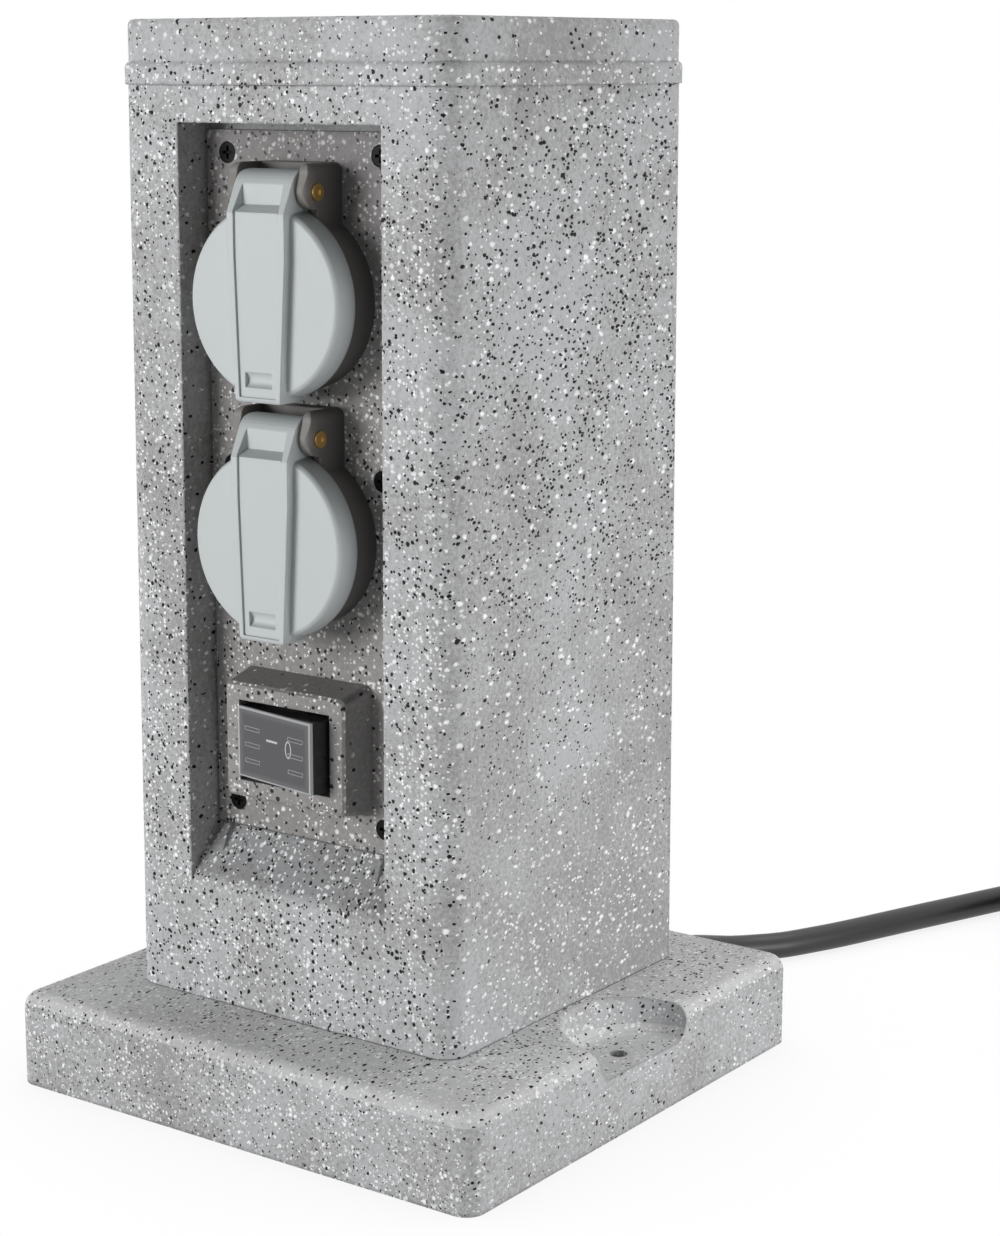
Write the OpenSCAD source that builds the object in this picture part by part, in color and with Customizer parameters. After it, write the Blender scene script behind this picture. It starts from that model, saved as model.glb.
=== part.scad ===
// Garden socket post: a square column on a wide foot, with two lidded earthed sockets and a
// rocker switch in a recess. Millimetres, +Z up, the sockets face -Y, and the origin is the
// middle of the foot's underside.

/* [Foot] */
// Width of the square foot
foot_w = 162; // [152:1:180]
// Height of the foot's side up to its rounded edge
foot_edge_z = 27.4; // [26:0.2:32]
// Rise of the sloping top from the edge to the column
foot_rise = 1.6; // [0.8:0.2:3]
// Corner radius of the foot in plan
foot_corner_r = 5.5; // [5.2:0.1:9]
// Radius of the rounded top edge
foot_edge_r = 5; // [3:0.5:5]
// Wall of the foot
foot_wall = 3.5; // [2.5:0.1:4.5]
// Radius of the scoop over each fixing hole
scoop_r = 20; // [14:0.5:21]
// Height of the flat floor in the scoop
scoop_z = 18.2; // [15:0.2:20]
// Widening of the scoop at its rim
scoop_flare = 4.3; // [2:0.1:4.6]
// Distance of a fixing hole from the foot's side
fix_inset = 8.5; // [7.5:0.1:10]
// Diameter of a fixing hole
fix_d = 5; // [4:0.1:6]

/* [Column] */
// Width of the column at the foot
col_w = 113; // [110:0.5:118]
// How much narrower the column is under the cap
col_taper = 1.5; // [0:0.1:4]
// Height of the column, without foot and cap
col_h = 253.8; // [250:0.2:270]
// Corner radius of the column
col_r = 6.8; // [5:0.1:9]
// Wall of the column
col_wall = 4; // [3:0.1:4.4]

/* [Cap] */
// How far the cap's sides stand back from the column's top
cap_in = 0.15; // [0:0.05:1]
// Height of the cap from the band's underside
cap_h = 17.2; // [13:0.2:24]
// How far the band stands out of the column's top on each side
band_out = 0.85; // [0.4:0.05:2]
// Height of the band
band_h = 6; // [4:0.2:9]
// Wall of the cap
cap_wall = 3; // [2:0.1:4]
// Radius of the cap's top edge
cap_edge_r = 1.6; // [0.8:0.1:2.5]
// Depth of the tongue that locates the cap in the column
tongue_h = 6; // [3:0.2:6]

/* [Recess] */
// Width of the recess
rec_w = 68.8; // [68:0.1:72]
// Height of the recess's top edge above the ground
rec_top = 273; // [272:0.2:273.4]
// Depth of the plate's face behind the column's face
rec_depth = 11; // [9:0.2:12]
// Slope of the sill from level, in degrees
sill_a = 52; // [46:1:58]
// Radius of the soft edge where the sill meets the face
sill_r = 8; // [5:0.5:9]
// Wall beside and above the recess
reveal_t = 3; // [2:0.1:4]
// Width of the sill's drain grooves at the plate
groove_w = 3.4; // [2.4:0.1:3.8]
// Distance between the two grooves at each end of the sill
groove_dx = 5.5; // [4.4:0.1:6.5]

/* [Panel] */
// Width of the plate
panel_w = 66.4; // [65:0.1:67.6]
// Height of the plate's lower edge above the ground
panel_z0 = 78.5; // [77:0.1:79.5]
// Height of the plate
panel_h = 192.5; // [190:0.1:193.5]
// Thickness of the plate
panel_t = 3; // [2.5:0.1:3.5]
// Distance between the two columns of plate screws
screw_dx = 52; // [51:0.1:53]
// Distance of the plate's lowest and highest screws from its ends
screw_in = 6.5; // [6:0.1:8]
// Diameter of a plate screw's head
screw_head_d = 5.4; // [4.5:0.1:6]
// Diameter of a plate screw's thread
screw_d = 3.4; // [2.8:0.1:3.6]

/* [Sockets] */
// Height of the lower socket's middle
sock_z = 163.3; // [162.5:0.1:164]
// Free height between the upper lid's tab and the lower socket's hinge block
lid_space = 2; // [1.6:0.1:3]
// Diameter of the well
well_d = 39.2; // [38.6:0.1:39.4]
// Depth of the well
well_h = 17.5; // [17:0.1:18]
// Wall of the well's body
well_wall = 1.6; // [1.4:0.1:1.8]
// How much wider the mouth is than the well, on each side
mouth_step = 0.3; // [0.1:0.05:0.4]
// Depth of the mouth before the ribs and clips begin
mouth_h = 5.5; // [4:0.1:6]
// Wall of the collar round the well's body
collar_wall = 2.8; // [2.6:0.1:3]
// Height of the collar above the plate
collar_h = 13; // [12.6:0.1:13.4]
// Distance between the two contacts
contact_dx = 19; // [18:0.1:20]
// Thickness of each cheek of the hinge block
cheek_t = 2.9; // [2.4:0.1:3.4]
// Height of the hinge pin above the lid's rim
pin_over = 2.9; // [2.8:0.1:3.3]
// Distance of the hinge pin from the plate
pin_out = 10.5; // [10.2:0.1:10.8]
// Diameter of the hinge pin
pin_d = 3; // [2.6:0.1:3.2]

/* [Lids] */
// Wall of the lid's rim at its open side
lid_wall = 1.35; // [1.2:0.05:1.6]
// Slope of the lid's rim, from its open side to its front face
lid_draft = 1.4; // [1:0.1:1.6]
// Depth of the lid's rim
lid_h = 6.5; // [6.2:0.1:6.8]
// Thickness of the lid's face
lid_t = 1.8; // [1.5:0.1:2]
// How far the strap stands out of the face
strap_out = 2.5; // [2:0.1:2.6]
// Width of the strap at the hinge
strap_w = 19.4; // [18:0.1:20]
// Width of the strap at the thumb tab
tab_w = 15.3; // [14:0.1:17]
// How far the thumb tab reaches below the lid's rim
tab_out = 0.4; // [0.2:0.1:0.6]
// Height above the lid's middle at which the strap reaches its full width
strap_shoulder = 12; // [8:0.5:16]
// Distance of the fold in the strap's front below the hinge pin
fold_down = 5.5; // [5:0.1:6.4]
// Depth of the strap's sunk face
strap_sink = 0.5; // [0.3:0.05:0.8]
// Width of the thumb scoop
thumb_w = 9; // [7:0.1:10]
// Height of the thumb scoop
thumb_h = 4.1; // [3:0.1:5]
// Depth of the thumb scoop
thumb_in = 1.1; // [0.6:0.05:1.2]
// Height of the thumb scoop above the tab's end
thumb_up = 6; // [5:0.1:8]
// Radius of the hinge barrel
barrel_r = 5.7; // [5.4:0.1:5.8]

/* [Switch] */
// Height of the switch's middle
switch_z = 106.6; // [106:0.1:107.2]
// Width of the surround at the plate
surround_w = 44; // [42:0.2:44.4]
// Height of the surround at the plate
surround_h = 36.6; // [35:0.2:36.8]
// Depth of the surround
surround_d = 10.7; // [10:0.1:11.4]
// Draft of the surround's sides from the plate to the face
surround_draft = 1.1; // [0.4:0.1:1.6]
// Width of the window
window_w = 31.8; // [31.6:0.1:33]
// Height of the window
window_h = 22.6; // [22:0.1:24]
// Width of the rocker's cover
cover_w = 30; // [29:0.1:30.2]
// Height of the rocker's cover
cover_h = 19.7; // [19:0.1:20.4]
// Thickness of the rocker's cover
cover_t = 1; // [0.8:0.1:1.2]
// Tilt of the rocker to each side of level, in degrees
rocker_tilt = 9.7; // [7:0.1:10]

/* [Cord] */
// Diameter of the mains lead
cord_d = 8.5; // [7.5:0.1:9]
// Distance of the lead's exit from the middle of the foot's back
exit_x = 26; // [24:0.5:27]
// Height of the lead's exit
exit_z = 9; // [8.6:0.1:10]
// Length of the strain relief behind the foot
sleeve_l = 22; // [20:1:30]
// Turns of the coil
coil_turns = 4.458; // [4.4:0.002:4.5]
// Radius of the coil's first turn
coil_r = 54.8; // [54:0.1:56]
// Step from one turn to the next
coil_step = 9.2; // [9.1:0.1:9.6]
// Step from one layer to the next
coil_rise = 9.1; // [9:0.1:9.6]
// Length of the coil's end that runs to the plug
tail_l = 42; // [38:1:50]
// Diameter of the plug's face
plug_d = 37; // [36:0.5:39]

/* [Hidden] */

$fn = 64;
eps = 0.01;

// Gap between pieces that slide into each other, between a moving piece and its neighbours,
// and round a running pin
fit_gap = 0.2;
move_gap = 0.4;
run_gap = 0.05;

granite = "#a9aaab";
panel_grey = "#7e7c78";
lid_grey = "#b9c4c1";
seal_grey = "#4a4d4c";
insert_grey = "#5a5a58";
blackish = "#1c1c1d";
brass_colour = "#b98a3c";
steel_colour = "#b8bcc0";

col_top_w = col_w - col_taper;
cap_w = col_top_w - 2 * cap_in;
foot_top_z = foot_edge_z + foot_rise;
col_top_z = foot_top_z + col_h;
cap_top_z = col_top_z + cap_h;
band_w = col_top_w + 2 * band_out;
face_y = -col_w / 2;
panel_y = face_y + rec_depth;
ledge_y = panel_y + panel_t;
ledge_t = 3.5;
ledge_back_y = ledge_y + ledge_t;
ledge_in = 5.4;
seat_z = panel_z0 - fit_gap;
panel_top_z = panel_z0 + panel_h;
screw_row_up = 17.225;
screw_rows = [panel_z0 + screw_in + 0.5, sock_z + screw_row_up, panel_top_z - screw_in + 0.5];
boss_r = 4.2;
boss_l = 12.5;
foot_screw_x = col_w / 2 - 10.5;
foot_screw_d = 3.7;

collar_gap = 0.35;
cheek_gap = 0.8;
mouth_d = well_d + 2 * mouth_step;
body_d = well_d + 2 * well_wall;
collar_d = body_d + 2 * collar_wall;
lid_d = collar_d + 2 * (collar_gap + lid_wall);
lid_face_d = lid_d - 2 * lid_draft;
block_w = strap_w + 2 * (cheek_gap + cheek_t);
block_top = 7.3;
pin_up = lid_d / 2 + pin_over;
tab_down = lid_d / 2 + tab_out;
sock_pitch = pin_up + block_top + tab_down + lid_space;
lower_z = sock_z;
upper_z = sock_z + sock_pitch;
sockets = [lower_z, upper_z];
mouth_y = panel_y - collar_h;
pin_y = panel_y - pin_out;
lid_back_y = panel_y - 10.3;
lid_face_y = lid_back_y - lid_h;
strap_y = lid_face_y - strap_out;
nut_h = 4;
nut_r = body_d / 2 + 2.6;

surround_y = panel_y - surround_d;
rocker_y = surround_y + 0.4;
cover_out = 4;
well_floor_y = surround_y + 7.2;

back_w = rec_w - 2 * ledge_in - 1;
window_z = 4;
back_z0 = panel_z0 + window_z + 0.5;
window_top_z = max(panel_top_z - window_z, upper_z + nut_r + move_gap);
back_z1 = window_top_z - 0.5;
back_depth = 46.5;
back_wall = 2;
seal_t = 1;
back_y0 = ledge_y + seal_t;
back_y1 = back_y0 + back_depth;
tower_x = 20;
tower_z = [switch_z + surround_h / 2 + 8.6, lower_z + sock_pitch / 2];
tower_r = 4.5;
pillar_h = 4.5;

gland_y = -20;
block_z = 150;

function arc(c, r, a0, a1, n = 8) =
    [for (i = [0:n]) let (a = a0 + (a1 - a0) * i / n) c + r * [cos(a), sin(a)]];
function unit(v) = v / norm(v);
function width_at(z) = col_w + (col_top_w - col_w) * (z - foot_top_z) / col_h;

// Four upright corner cylinders of a square with rounded corners
module corners(w, r, z, h = eps) {
    for (x = [-1, 1], y = [-1, 1])
        translate([x * (w / 2 - r), y * (w / 2 - r), z])
            cylinder(r = r, h = h, $fn = 32);
}

// A square block with its four upright edges turned from a profile of radius and height
module turned_block(w, r, points) {
    hull()
        for (x = [-1, 1], y = [-1, 1])
            translate([x * (w / 2 - r), y * (w / 2 - r), 0])
                rotate_extrude($fn = 32)
                    polygon(points);
}

// A profile in Y and Z, stretched along X about the middle
module along_x(w, points) {
    rotate([90, 0, 90])
        linear_extrude(height = w, center = true)
            polygon(points);
}

// A profile of radius and forward distance, turned about a line along Y at height z
module round_y(z, points) {
    translate([0, 0, z])
        rotate([90, 0, 0])
            rotate_extrude($fn = 96)
                polygon(points);
}

// A cylinder along Y from y0 to y1
module rod_y(x, z, y0, y1, r, fn = 32) {
    translate([x, y0, z])
        rotate([-90, 0, 0])
            cylinder(r = r, h = y1 - y0, $fn = fn);
}

// A cylinder along X, centred on x = 0
module rod_x(y, z, w, r, fn = 32) {
    translate([-w / 2, y, z])
        rotate([0, 90, 0])
            cylinder(r = r, h = w, $fn = fn);
}

// A tube of n sides along a path, with its rings square to the path
function path_dir(p, i) =
    unit(p[min(i + 1, len(p) - 1)] - p[max(i - 1, 0)]);
function path_ring(p, i, r, n, ref) =
    let (t = path_dir(p, i), u = unit(cross(ref, t)), v = cross(t, u))
    [for (k = [0:n - 1]) p[i] + r * (cos(360 * k / n) * u + sin(360 * k / n) * v)];
module tube(p, r, n, ref = [0, 0, 1]) {
    m = len(p);
    points = [for (i = [0:m - 1]) each path_ring(p, i, r, n, ref)];
    sides = [for (i = [0:m - 2], k = [0:n - 1])
        let (a = i * n + k, b = i * n + (k + 1) % n)
        each [[a, a + n, b], [b, a + n, b + n]]];
    ends = [[for (k = [0:n - 1]) k], [for (k = [n - 1:-1:0]) (m - 1) * n + k]];
    polyhedron(points, concat(sides, ends));
}

// Foot

module foot_form() {
    edge = [foot_corner_r - foot_edge_r, foot_edge_z - foot_edge_r];
    hull() {
        turned_block(foot_w, foot_corner_r, concat(
            [[0, 0], [foot_corner_r, 0]], arc(edge, foot_edge_r, 0, 90, 5), [[0, foot_edge_z]]));
        corners(col_w, col_r, foot_top_z - 1, 1);
    }
}

module foot_hollow() {
    inner = foot_w - 2 * foot_wall;
    hull() {
        translate([-inner / 2, -inner / 2, -1])
            cube([inner, inner, foot_edge_z - foot_edge_r + 1]);
        translate([-inner / 2 + 2, -inner / 2 + 2, 0])
            cube([inner - 4, inner - 4, foot_edge_z - foot_wall - 1]);
        translate([-col_w / 2, -col_w / 2, 0])
            cube([col_w, col_w, foot_top_z - foot_wall]);
    }
}

// The scoop's form, grown by a wall for the shell under it
module scoop(grow = 0) {
    fillet = 2;
    rim_z = foot_top_z + 2;
    wall = [scoop_r + scoop_flare * 0.3, scoop_z + fillet + 1];
    turned = concat(
        [[0, scoop_z]],
        arc([scoop_r - fillet, scoop_z + fillet], fillet, -90, -20, 5),
        [wall, [scoop_r + scoop_flare, rim_z], [0, rim_z]]);
    translate([0, 0, -grow])
        rotate_extrude($fn = 72)
            polygon([for (p = turned) [p[0] == 0 ? 0 : p[0] + grow, p[1]]]);
}

module plinth() {
    fix_x = foot_w / 2 - fix_inset;
    rib_t = 2.5;
    rib_x = foot_screw_x - 10;
    rim_l = 50;
    rim_t = 2.5;
    rim_in = col_w / 2 - col_wall - fit_gap;
    shell_t = 3;
    color(granite)
    difference() {
        union() {
            difference() {
                foot_form();
                foot_hollow();
            }
            intersection() {
                foot_form();
                union() {
                    for (s = [-1, 1])
                        translate([s * foot_w / 2, 0, 0])
                            scoop(shell_t);
                    for (s = [-1, 1]) {
                        translate([s * rib_x - rib_t / 2, -foot_w / 2 + 1, 2])
                            cube([rib_t, foot_w - 2, foot_edge_z - 4]);
                        translate([-foot_w / 2 + 1, s * rib_x - rib_t / 2, 2])
                            cube([foot_w - 2, rib_t, foot_edge_z - 4]);
                    }
                }
            }
            for (s = [-1, 1])
                translate([s * fix_x, 0, 0])
                    cylinder(r = fix_d / 2 + 3.5, h = scoop_z - 1);
            for (a = [0:90:270])
                rotate([0, 0, a])
                    translate([rim_in - rim_t, -rim_l / 2, foot_top_z - 1])
                        cube([rim_t, rim_l, 5]);
        }
        for (s = [-1, 1]) {
            translate([s * foot_w / 2, 0, 0])
                scoop();
            translate([s * fix_x, 0, -1])
                cylinder(d = fix_d, h = scoop_z + 2);
        }
        // way up into the column for the lead
        translate([-22, -26, -1])
            cube([44, 52, foot_top_z + 3]);
        // way through the ribs for the lead
        translate([exit_x - 20, rib_x - 3, -1])
            cube([28, 6, 20]);
        for (x = [-1, 1], y = [-1, 1])
            translate([x * foot_screw_x, y * foot_screw_x, foot_top_z - foot_wall - 2])
                cylinder(d = foot_screw_d + 0.6, h = foot_wall + 4);
        rod_y(exit_x, exit_z, foot_w / 2 - foot_wall - 1, foot_w / 2 + 1, sleeve_neck_r + fit_gap, 48);
    }
}

module plinth_screws() {
    head_z = foot_top_z - foot_wall;
    color(steel_colour)
    for (x = [-1, 1], y = [-1, 1])
        translate([x * foot_screw_x, y * foot_screw_x, 0])
            difference() {
                union() {
                    translate([0, 0, head_z - 2.5])
                        cylinder(d = 7.6, h = 2.5, $fn = 32);
                    translate([0, 0, head_z - 1])
                        cylinder(d = foot_screw_d, h = 22, $fn = 32);
                }
                translate([0, 0, head_z - 2.5 - eps])
                    for (a = [0, 90])
                        rotate([0, 0, a])
                            translate([-2.2, -0.5, 0])
                                cube([4.4, 1, 1.4]);
            }
}

// Column

module col_form(inset, over) {
    hull() {
        corners(width_at(foot_top_z - over) - 2 * inset, col_r - inset, foot_top_z - over);
        corners(width_at(col_top_z + over) - 2 * inset, col_r - inset, col_top_z + over - eps);
    }
}

// Side view of the recess: level at the top, a seat for the plate, and a sloping sill that
// rolls over into the column's face
module recess_cut() {
    out = [-sin(sill_a), cos(sill_a)];
    roll_y = face_y + sill_r;
    roll_z = seat_z + ((roll_y - panel_y) * sin(sill_a) - sill_r) / cos(sill_a);
    along_x(rec_w, concat(
        [[face_y - 10, rec_top], [ledge_y, rec_top], [ledge_y, seat_z], [panel_y, seat_z]],
        [for (i = [0:10]) let (a = sill_a + (90 - sill_a) * i / 10)
            [roll_y, roll_z] + sill_r * [-sin(a), cos(a)]],
        [[face_y - 10, roll_z]]));
}

// Tapering groove down the sill, just inside the recess's side
// A drain groove at x that runs down the sill and tapers out
module drain_groove(x) {
    run = 9;
    translate([x, panel_y + 0.4, seat_z + 0.5])
        rotate([90 + sill_a, 0, 0])
            cylinder(r1 = groove_w / 2, r2 = 0.2, h = run, $fn = 32);
}

module post() {
    tray_w = rec_w + 2 * reveal_t;
    tray_y = face_y + col_wall / 2 - 0.5;
    under = reveal_t + 3;
    pilot = screw_d / 2 + run_gap;
    color(granite)
    difference() {
        union() {
            difference() {
                union() {
                    difference() {
                        col_form(0, 0);
                        col_form(col_wall, 1);
                    }
                    along_x(tray_w, [
                        [tray_y, rec_top + reveal_t],
                        [ledge_back_y, rec_top + reveal_t],
                        [ledge_back_y, seat_z - 3],
                        [tray_y, seat_z - 3 - (ledge_back_y - tray_y) * tan(sill_a)]]);
                }
                recess_cut();
                for (s = [-1, 1], k = [0, 1])
                    drain_groove(s * (panel_w / 2 - 0.3 - k * groove_dx));
                // window through the ledge, behind the plate
                translate([-rec_w / 2 + ledge_in, ledge_y - 1, panel_z0 + window_z])
                    cube([rec_w - 2 * ledge_in, 20, window_top_z - panel_z0 - window_z]);
            }
            for (x = [-1, 1], z = screw_rows)
                rod_y(x * screw_dx / 2, z, ledge_y, ledge_y + boss_l, boss_r);
            intersection() {
                col_form(1, 0);
                for (x = [-1, 1], y = [-1, 1])
                    translate([x * foot_screw_x, y * foot_screw_x, foot_top_z])
                        cylinder(r = 7, h = 30, $fn = 48);
            }
        }
        for (x = [-1, 1], z = screw_rows)
            rod_y(x * screw_dx / 2, z, ledge_y - 1, ledge_y + boss_l - 2, pilot);
        for (x = [-1, 1], y = [-1, 1])
            translate([x * foot_screw_x, y * foot_screw_x, foot_top_z - 1])
                cylinder(d = foot_screw_d + 2 * run_gap, h = 26, $fn = 32);
    }
}

module cap() {
    tongue_w = col_top_w - 2 * col_wall - 2 * fit_gap;
    inner_r = max(col_r - col_wall, 1);
    band_r = col_r + band_out;
    band_top = col_top_z + band_h;
    edge_z = cap_top_z - cap_edge_r;
    color(granite)
    difference() {
        union() {
            turned_block(cap_w, col_r, concat(
                [[0, col_top_z + 1], [col_r, col_top_z + 1]],
                arc([col_r - cap_edge_r, edge_z], cap_edge_r, 0, 90, 3),
                [[0, cap_top_z]]));
            turned_block(band_w, band_r, concat(
                [[0, col_top_z], [band_r, col_top_z]],
                arc([band_r - 1.5, band_top - 1.5], 1.5, 0, 90, 3),
                [[0, band_top]]));
            turned_block(tongue_w, inner_r, [
                [0, col_top_z - tongue_h], [inner_r, col_top_z - tongue_h],
                [inner_r, col_top_z + 1], [0, col_top_z + 1]]);
        }
        translate([-tongue_w / 2 + 2, -tongue_w / 2 + 2, col_top_z - tongue_h - 1])
            cube([tongue_w - 4, tongue_w - 4, cap_h + tongue_h + 1 - cap_wall]);
    }
}

// Plate and what it carries

module socket_panel() {
    hole_r = body_d / 2 + fit_gap;
    color(panel_grey)
    difference() {
        union() {
            translate([-panel_w / 2, panel_y, panel_z0])
                cube([panel_w, panel_t, panel_h]);
            for (x = [-1, 1], z = tower_z)
                rod_y(x * tower_x, z, ledge_y - 1, ledge_y + pillar_h, 3.5);
        }
        for (z = sockets) {
            rod_y(0, z, panel_y - 1, ledge_y + 1, hole_r, 96);
            rod_y(0, z + peg_up, panel_y - 1, ledge_y + 1, peg_r + run_gap);
        }
        translate([-window_w / 2, panel_y - 1, switch_z - window_h / 2])
            cube([window_w, panel_t + 2, window_h]);
        for (x = [-1, 1], z = screw_rows) {
            rod_y(x * screw_dx / 2, z, panel_y - 1, ledge_y + 1, screw_d / 2 + fit_gap);
            rod_y(x * screw_dx / 2, z, panel_y - 1, panel_y + 1.4, screw_head_d / 2 + fit_gap);
        }
        for (x = [-1, 1], z = tower_z)
            rod_y(x * tower_x, z, ledge_y - 1, ledge_y + pillar_h + 1, 1.3);
    }
}

module panel_screws() {
    seat_y = panel_y + 1.4;
    color(blackish)
    for (x = [-1, 1], z = screw_rows)
        difference() {
            union() {
                rod_y(x * screw_dx / 2, z, seat_y - 1.3, seat_y, screw_head_d / 2);
                rod_y(x * screw_dx / 2, z, seat_y - 0.5, ledge_y + boss_l - 3, screw_d / 2);
            }
            translate([x * screw_dx / 2, seat_y - 1.3 - eps, z])
                for (a = [0, 90])
                    rotate([0, a, 0])
                        translate([-1.7, 0, -0.4])
                            cube([3.4, 0.9, 0.8]);
        }
}

// Socket: the collar and hinge block in front of the plate, the well clamped from behind it

peg_up = pin_up + 2.6;
peg_r = 2;
nose_h = collar_h - 9.5;
nose_in = 0.8;
lip_r = body_d / 2 + 1;
lip_t = 1.5;

rivet_r = 1.8;
rivet_end = mouth_y + well_h + 16;

// Round nose, front and pocket of the hinge block, counted from the hinge pin. The lid's rim
// passes round the nose as the lid opens.
block_nose_r = 4.6;
block_front = 3.3;
block_low = 12;
pocket_r = barrel_r + move_gap;

// The hinge block about the pin: its side view, and its rounded edges seen from above and in front
module hinge_block() {
    corner_r = 2.6;
    edge_r = 1.6;
    top_r = 2.5;
    half = block_w / 2;
    intersection() {
        along_x(block_w, concat(
            [[pin_out, block_top]],
            arc([corner_r - block_front, block_top - corner_r], corner_r, 90, 180),
            arc([0, 0], block_nose_r, 165, 277.8, 10),
            [[0.6, -block_low], [pin_out, -block_low]]));
        translate([0, 0, -block_low])
            linear_extrude(height = block_low + block_top)
                polygon(concat(
                    [[half, pin_out], [-half, pin_out]],
                    arc([edge_r - half, edge_r - block_nose_r], edge_r, 180, 270),
                    arc([half - edge_r, edge_r - block_nose_r], edge_r, 270, 360)));
        rotate([90, 0, 0])
            linear_extrude(height = 40, center = true)
                polygon(concat(
                    [[-half, -block_low], [half, -block_low]],
                    arc([half - top_r, block_top - top_r], top_r, 0, 90),
                    arc([top_r - half, block_top - top_r], top_r, 90, 180)));
    }
}

module socket_housing(z) {
    inner_r = body_d / 2 + 0.15;
    cheek_x = block_w / 2 - cheek_t;
    color(panel_grey)
    difference() {
        union() {
            round_y(z, [
                [inner_r, -panel_y], [collar_d / 2, -panel_y],
                [collar_d / 2, -mouth_y - nose_h],
                [collar_d / 2 - nose_in, -mouth_y], [inner_r, -mouth_y]]);
            difference() {
                translate([0, pin_y, z + pin_up])
                    hinge_block();
                rod_y(0, z, mouth_y - 10, panel_y + 1, inner_r + 1, 96);
                translate([-cheek_x, mouth_y - 20, z + pin_up - block_low - 2])
                    cube([2 * cheek_x, lid_back_y + move_gap - mouth_y + 20, block_low + 3]);
            }
            rod_y(0, z + peg_up, panel_y - 1, ledge_y, peg_r);
        }
        // room for the lid's barrel between the cheeks
        translate([-cheek_x, pin_y + pocket_r - 40, z + pin_up])
            cube([2 * cheek_x, 40, block_top + 1]);
        rod_x(pin_y, z + pin_up, 2 * cheek_x, pocket_r);
        rod_x(pin_y, z + pin_up, block_w + 2, pin_d / 2 + run_gap);
        // seat of the well's lip
        rod_y(0, z, mouth_y - 1, mouth_y + lip_t, lip_r + 0.1, 96);
    }
}

// Two guide ribs in the well, and the recesses of the earth clips above and below
module socket_insert(z) {
    floor_y = mouth_y + well_h;
    block_y = floor_y + 15;
    rib_w = 5;
    clip_w = 7;
    color(insert_grey)
    difference() {
        union() {
            round_y(z, [
                [0, -floor_y], [well_d / 2, -floor_y],
                [well_d / 2, -mouth_y - mouth_h], [mouth_d / 2, -mouth_y - mouth_h],
                [mouth_d / 2, -mouth_y], [lip_r, -mouth_y],
                [lip_r, -mouth_y - lip_t], [body_d / 2, -mouth_y - lip_t], [body_d / 2, -floor_y - 5],
                [17, -floor_y - 5], [17, -block_y], [0, -block_y]]);
            for (s = [-1, 1])
                translate([s * (well_d / 2 - 1) - 1.5, mouth_y + mouth_h + 0.5, z - rib_w / 2])
                    cube([3, well_h - mouth_h, rib_w]);
        }
        for (s = [-1, 1]) {
            rod_y(s * contact_dx / 2, z, floor_y - 1, floor_y + 3, 3);
            rod_y(s * contact_dx / 2, z, floor_y + 2, block_y + 1, 3.5 + run_gap);
        }
        translate([-clip_w / 2, floor_y - 1, z - 15.5])
            cube([clip_w, 4, 31]);
        rod_y(0, z, floor_y, block_y + 1, rivet_r + run_gap);
    }
}

// Springy brass strap: a bar in the floor's slot and a bent tongue at the top and the bottom
module earth_clip(z) {
    floor_y = mouth_y + well_h;
    tip_y = mouth_y + mouth_h + 1;
    w = 6;
    t = 0.8;
    reach = 15.2;
    color(brass_colour)
    translate([0, 0, z]) {
        rod_y(0, 0, floor_y + 2.4, rivet_end, rivet_r);
        for (s = [-1, 1])
            scale([1, 1, s])
                along_x(w, [
                    [floor_y + 3, -1], [floor_y + 3, reach], [floor_y - 3, reach],
                    [tip_y + 4, reach + 0.7], [tip_y, reach + 3.2], [tip_y + 0.3, reach + 3.2 - t],
                    [tip_y + 4.3, reach + 0.7 - t], [floor_y - 3, reach - t],
                    [floor_y + 3 - t, reach - t], [floor_y + 3 - t, -1]]);
    }
}

module contacts(z) {
    floor_y = mouth_y + well_h;
    color(brass_colour)
    for (s = [-1, 1])
        difference() {
            rod_y(s * contact_dx / 2, z, floor_y + 3, floor_y + 17, 3.5);
            rod_y(s * contact_dx / 2, z, floor_y + 2, floor_y + 13, 2.5);
            translate([s * contact_dx / 2 - 0.4, floor_y + 2, z - 5])
                cube([0.8, 9, 10]);
        }
}

// Ring nut behind the plate, with six slots for its key
module ring_nut(z) {
    color(insert_grey)
    difference() {
        round_y(z, [
            [body_d / 2 + 0.1, -ledge_y], [nut_r, -ledge_y],
            [nut_r, -ledge_y - nut_h], [body_d / 2 + 0.1, -ledge_y - nut_h]]);
        for (a = [0:60:300])
            translate([0, ledge_y + nut_h, z])
                rotate([0, a, 0])
                    translate([nut_r - 1.3, -2, -1.5])
                        cube([3, 3, 3]);
    }
}

module hinge_pin(z) {
    head_t = 0.7;
    head_r = pin_d / 2 + 0.75;
    color(brass_colour)
    difference() {
        union() {
            rod_x(pin_y, z + pin_up, block_w + 2 * head_t, pin_d / 2);
            for (s = [-1, 1])
                translate([s > 0 ? block_w / 2 : -block_w / 2 - head_t, pin_y, z + pin_up])
                    rotate([0, 90, 0])
                        cylinder(r = head_r, h = head_t, $fn = 32);
        }
        for (s = [-1, 1])
            translate([s * (block_w / 2 + head_t), pin_y, z + pin_up])
                rotate([0, 90, 0])
                    cylinder(r = 0.9, h = 0.8, center = true, $fn = 24);
    }
}

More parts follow.
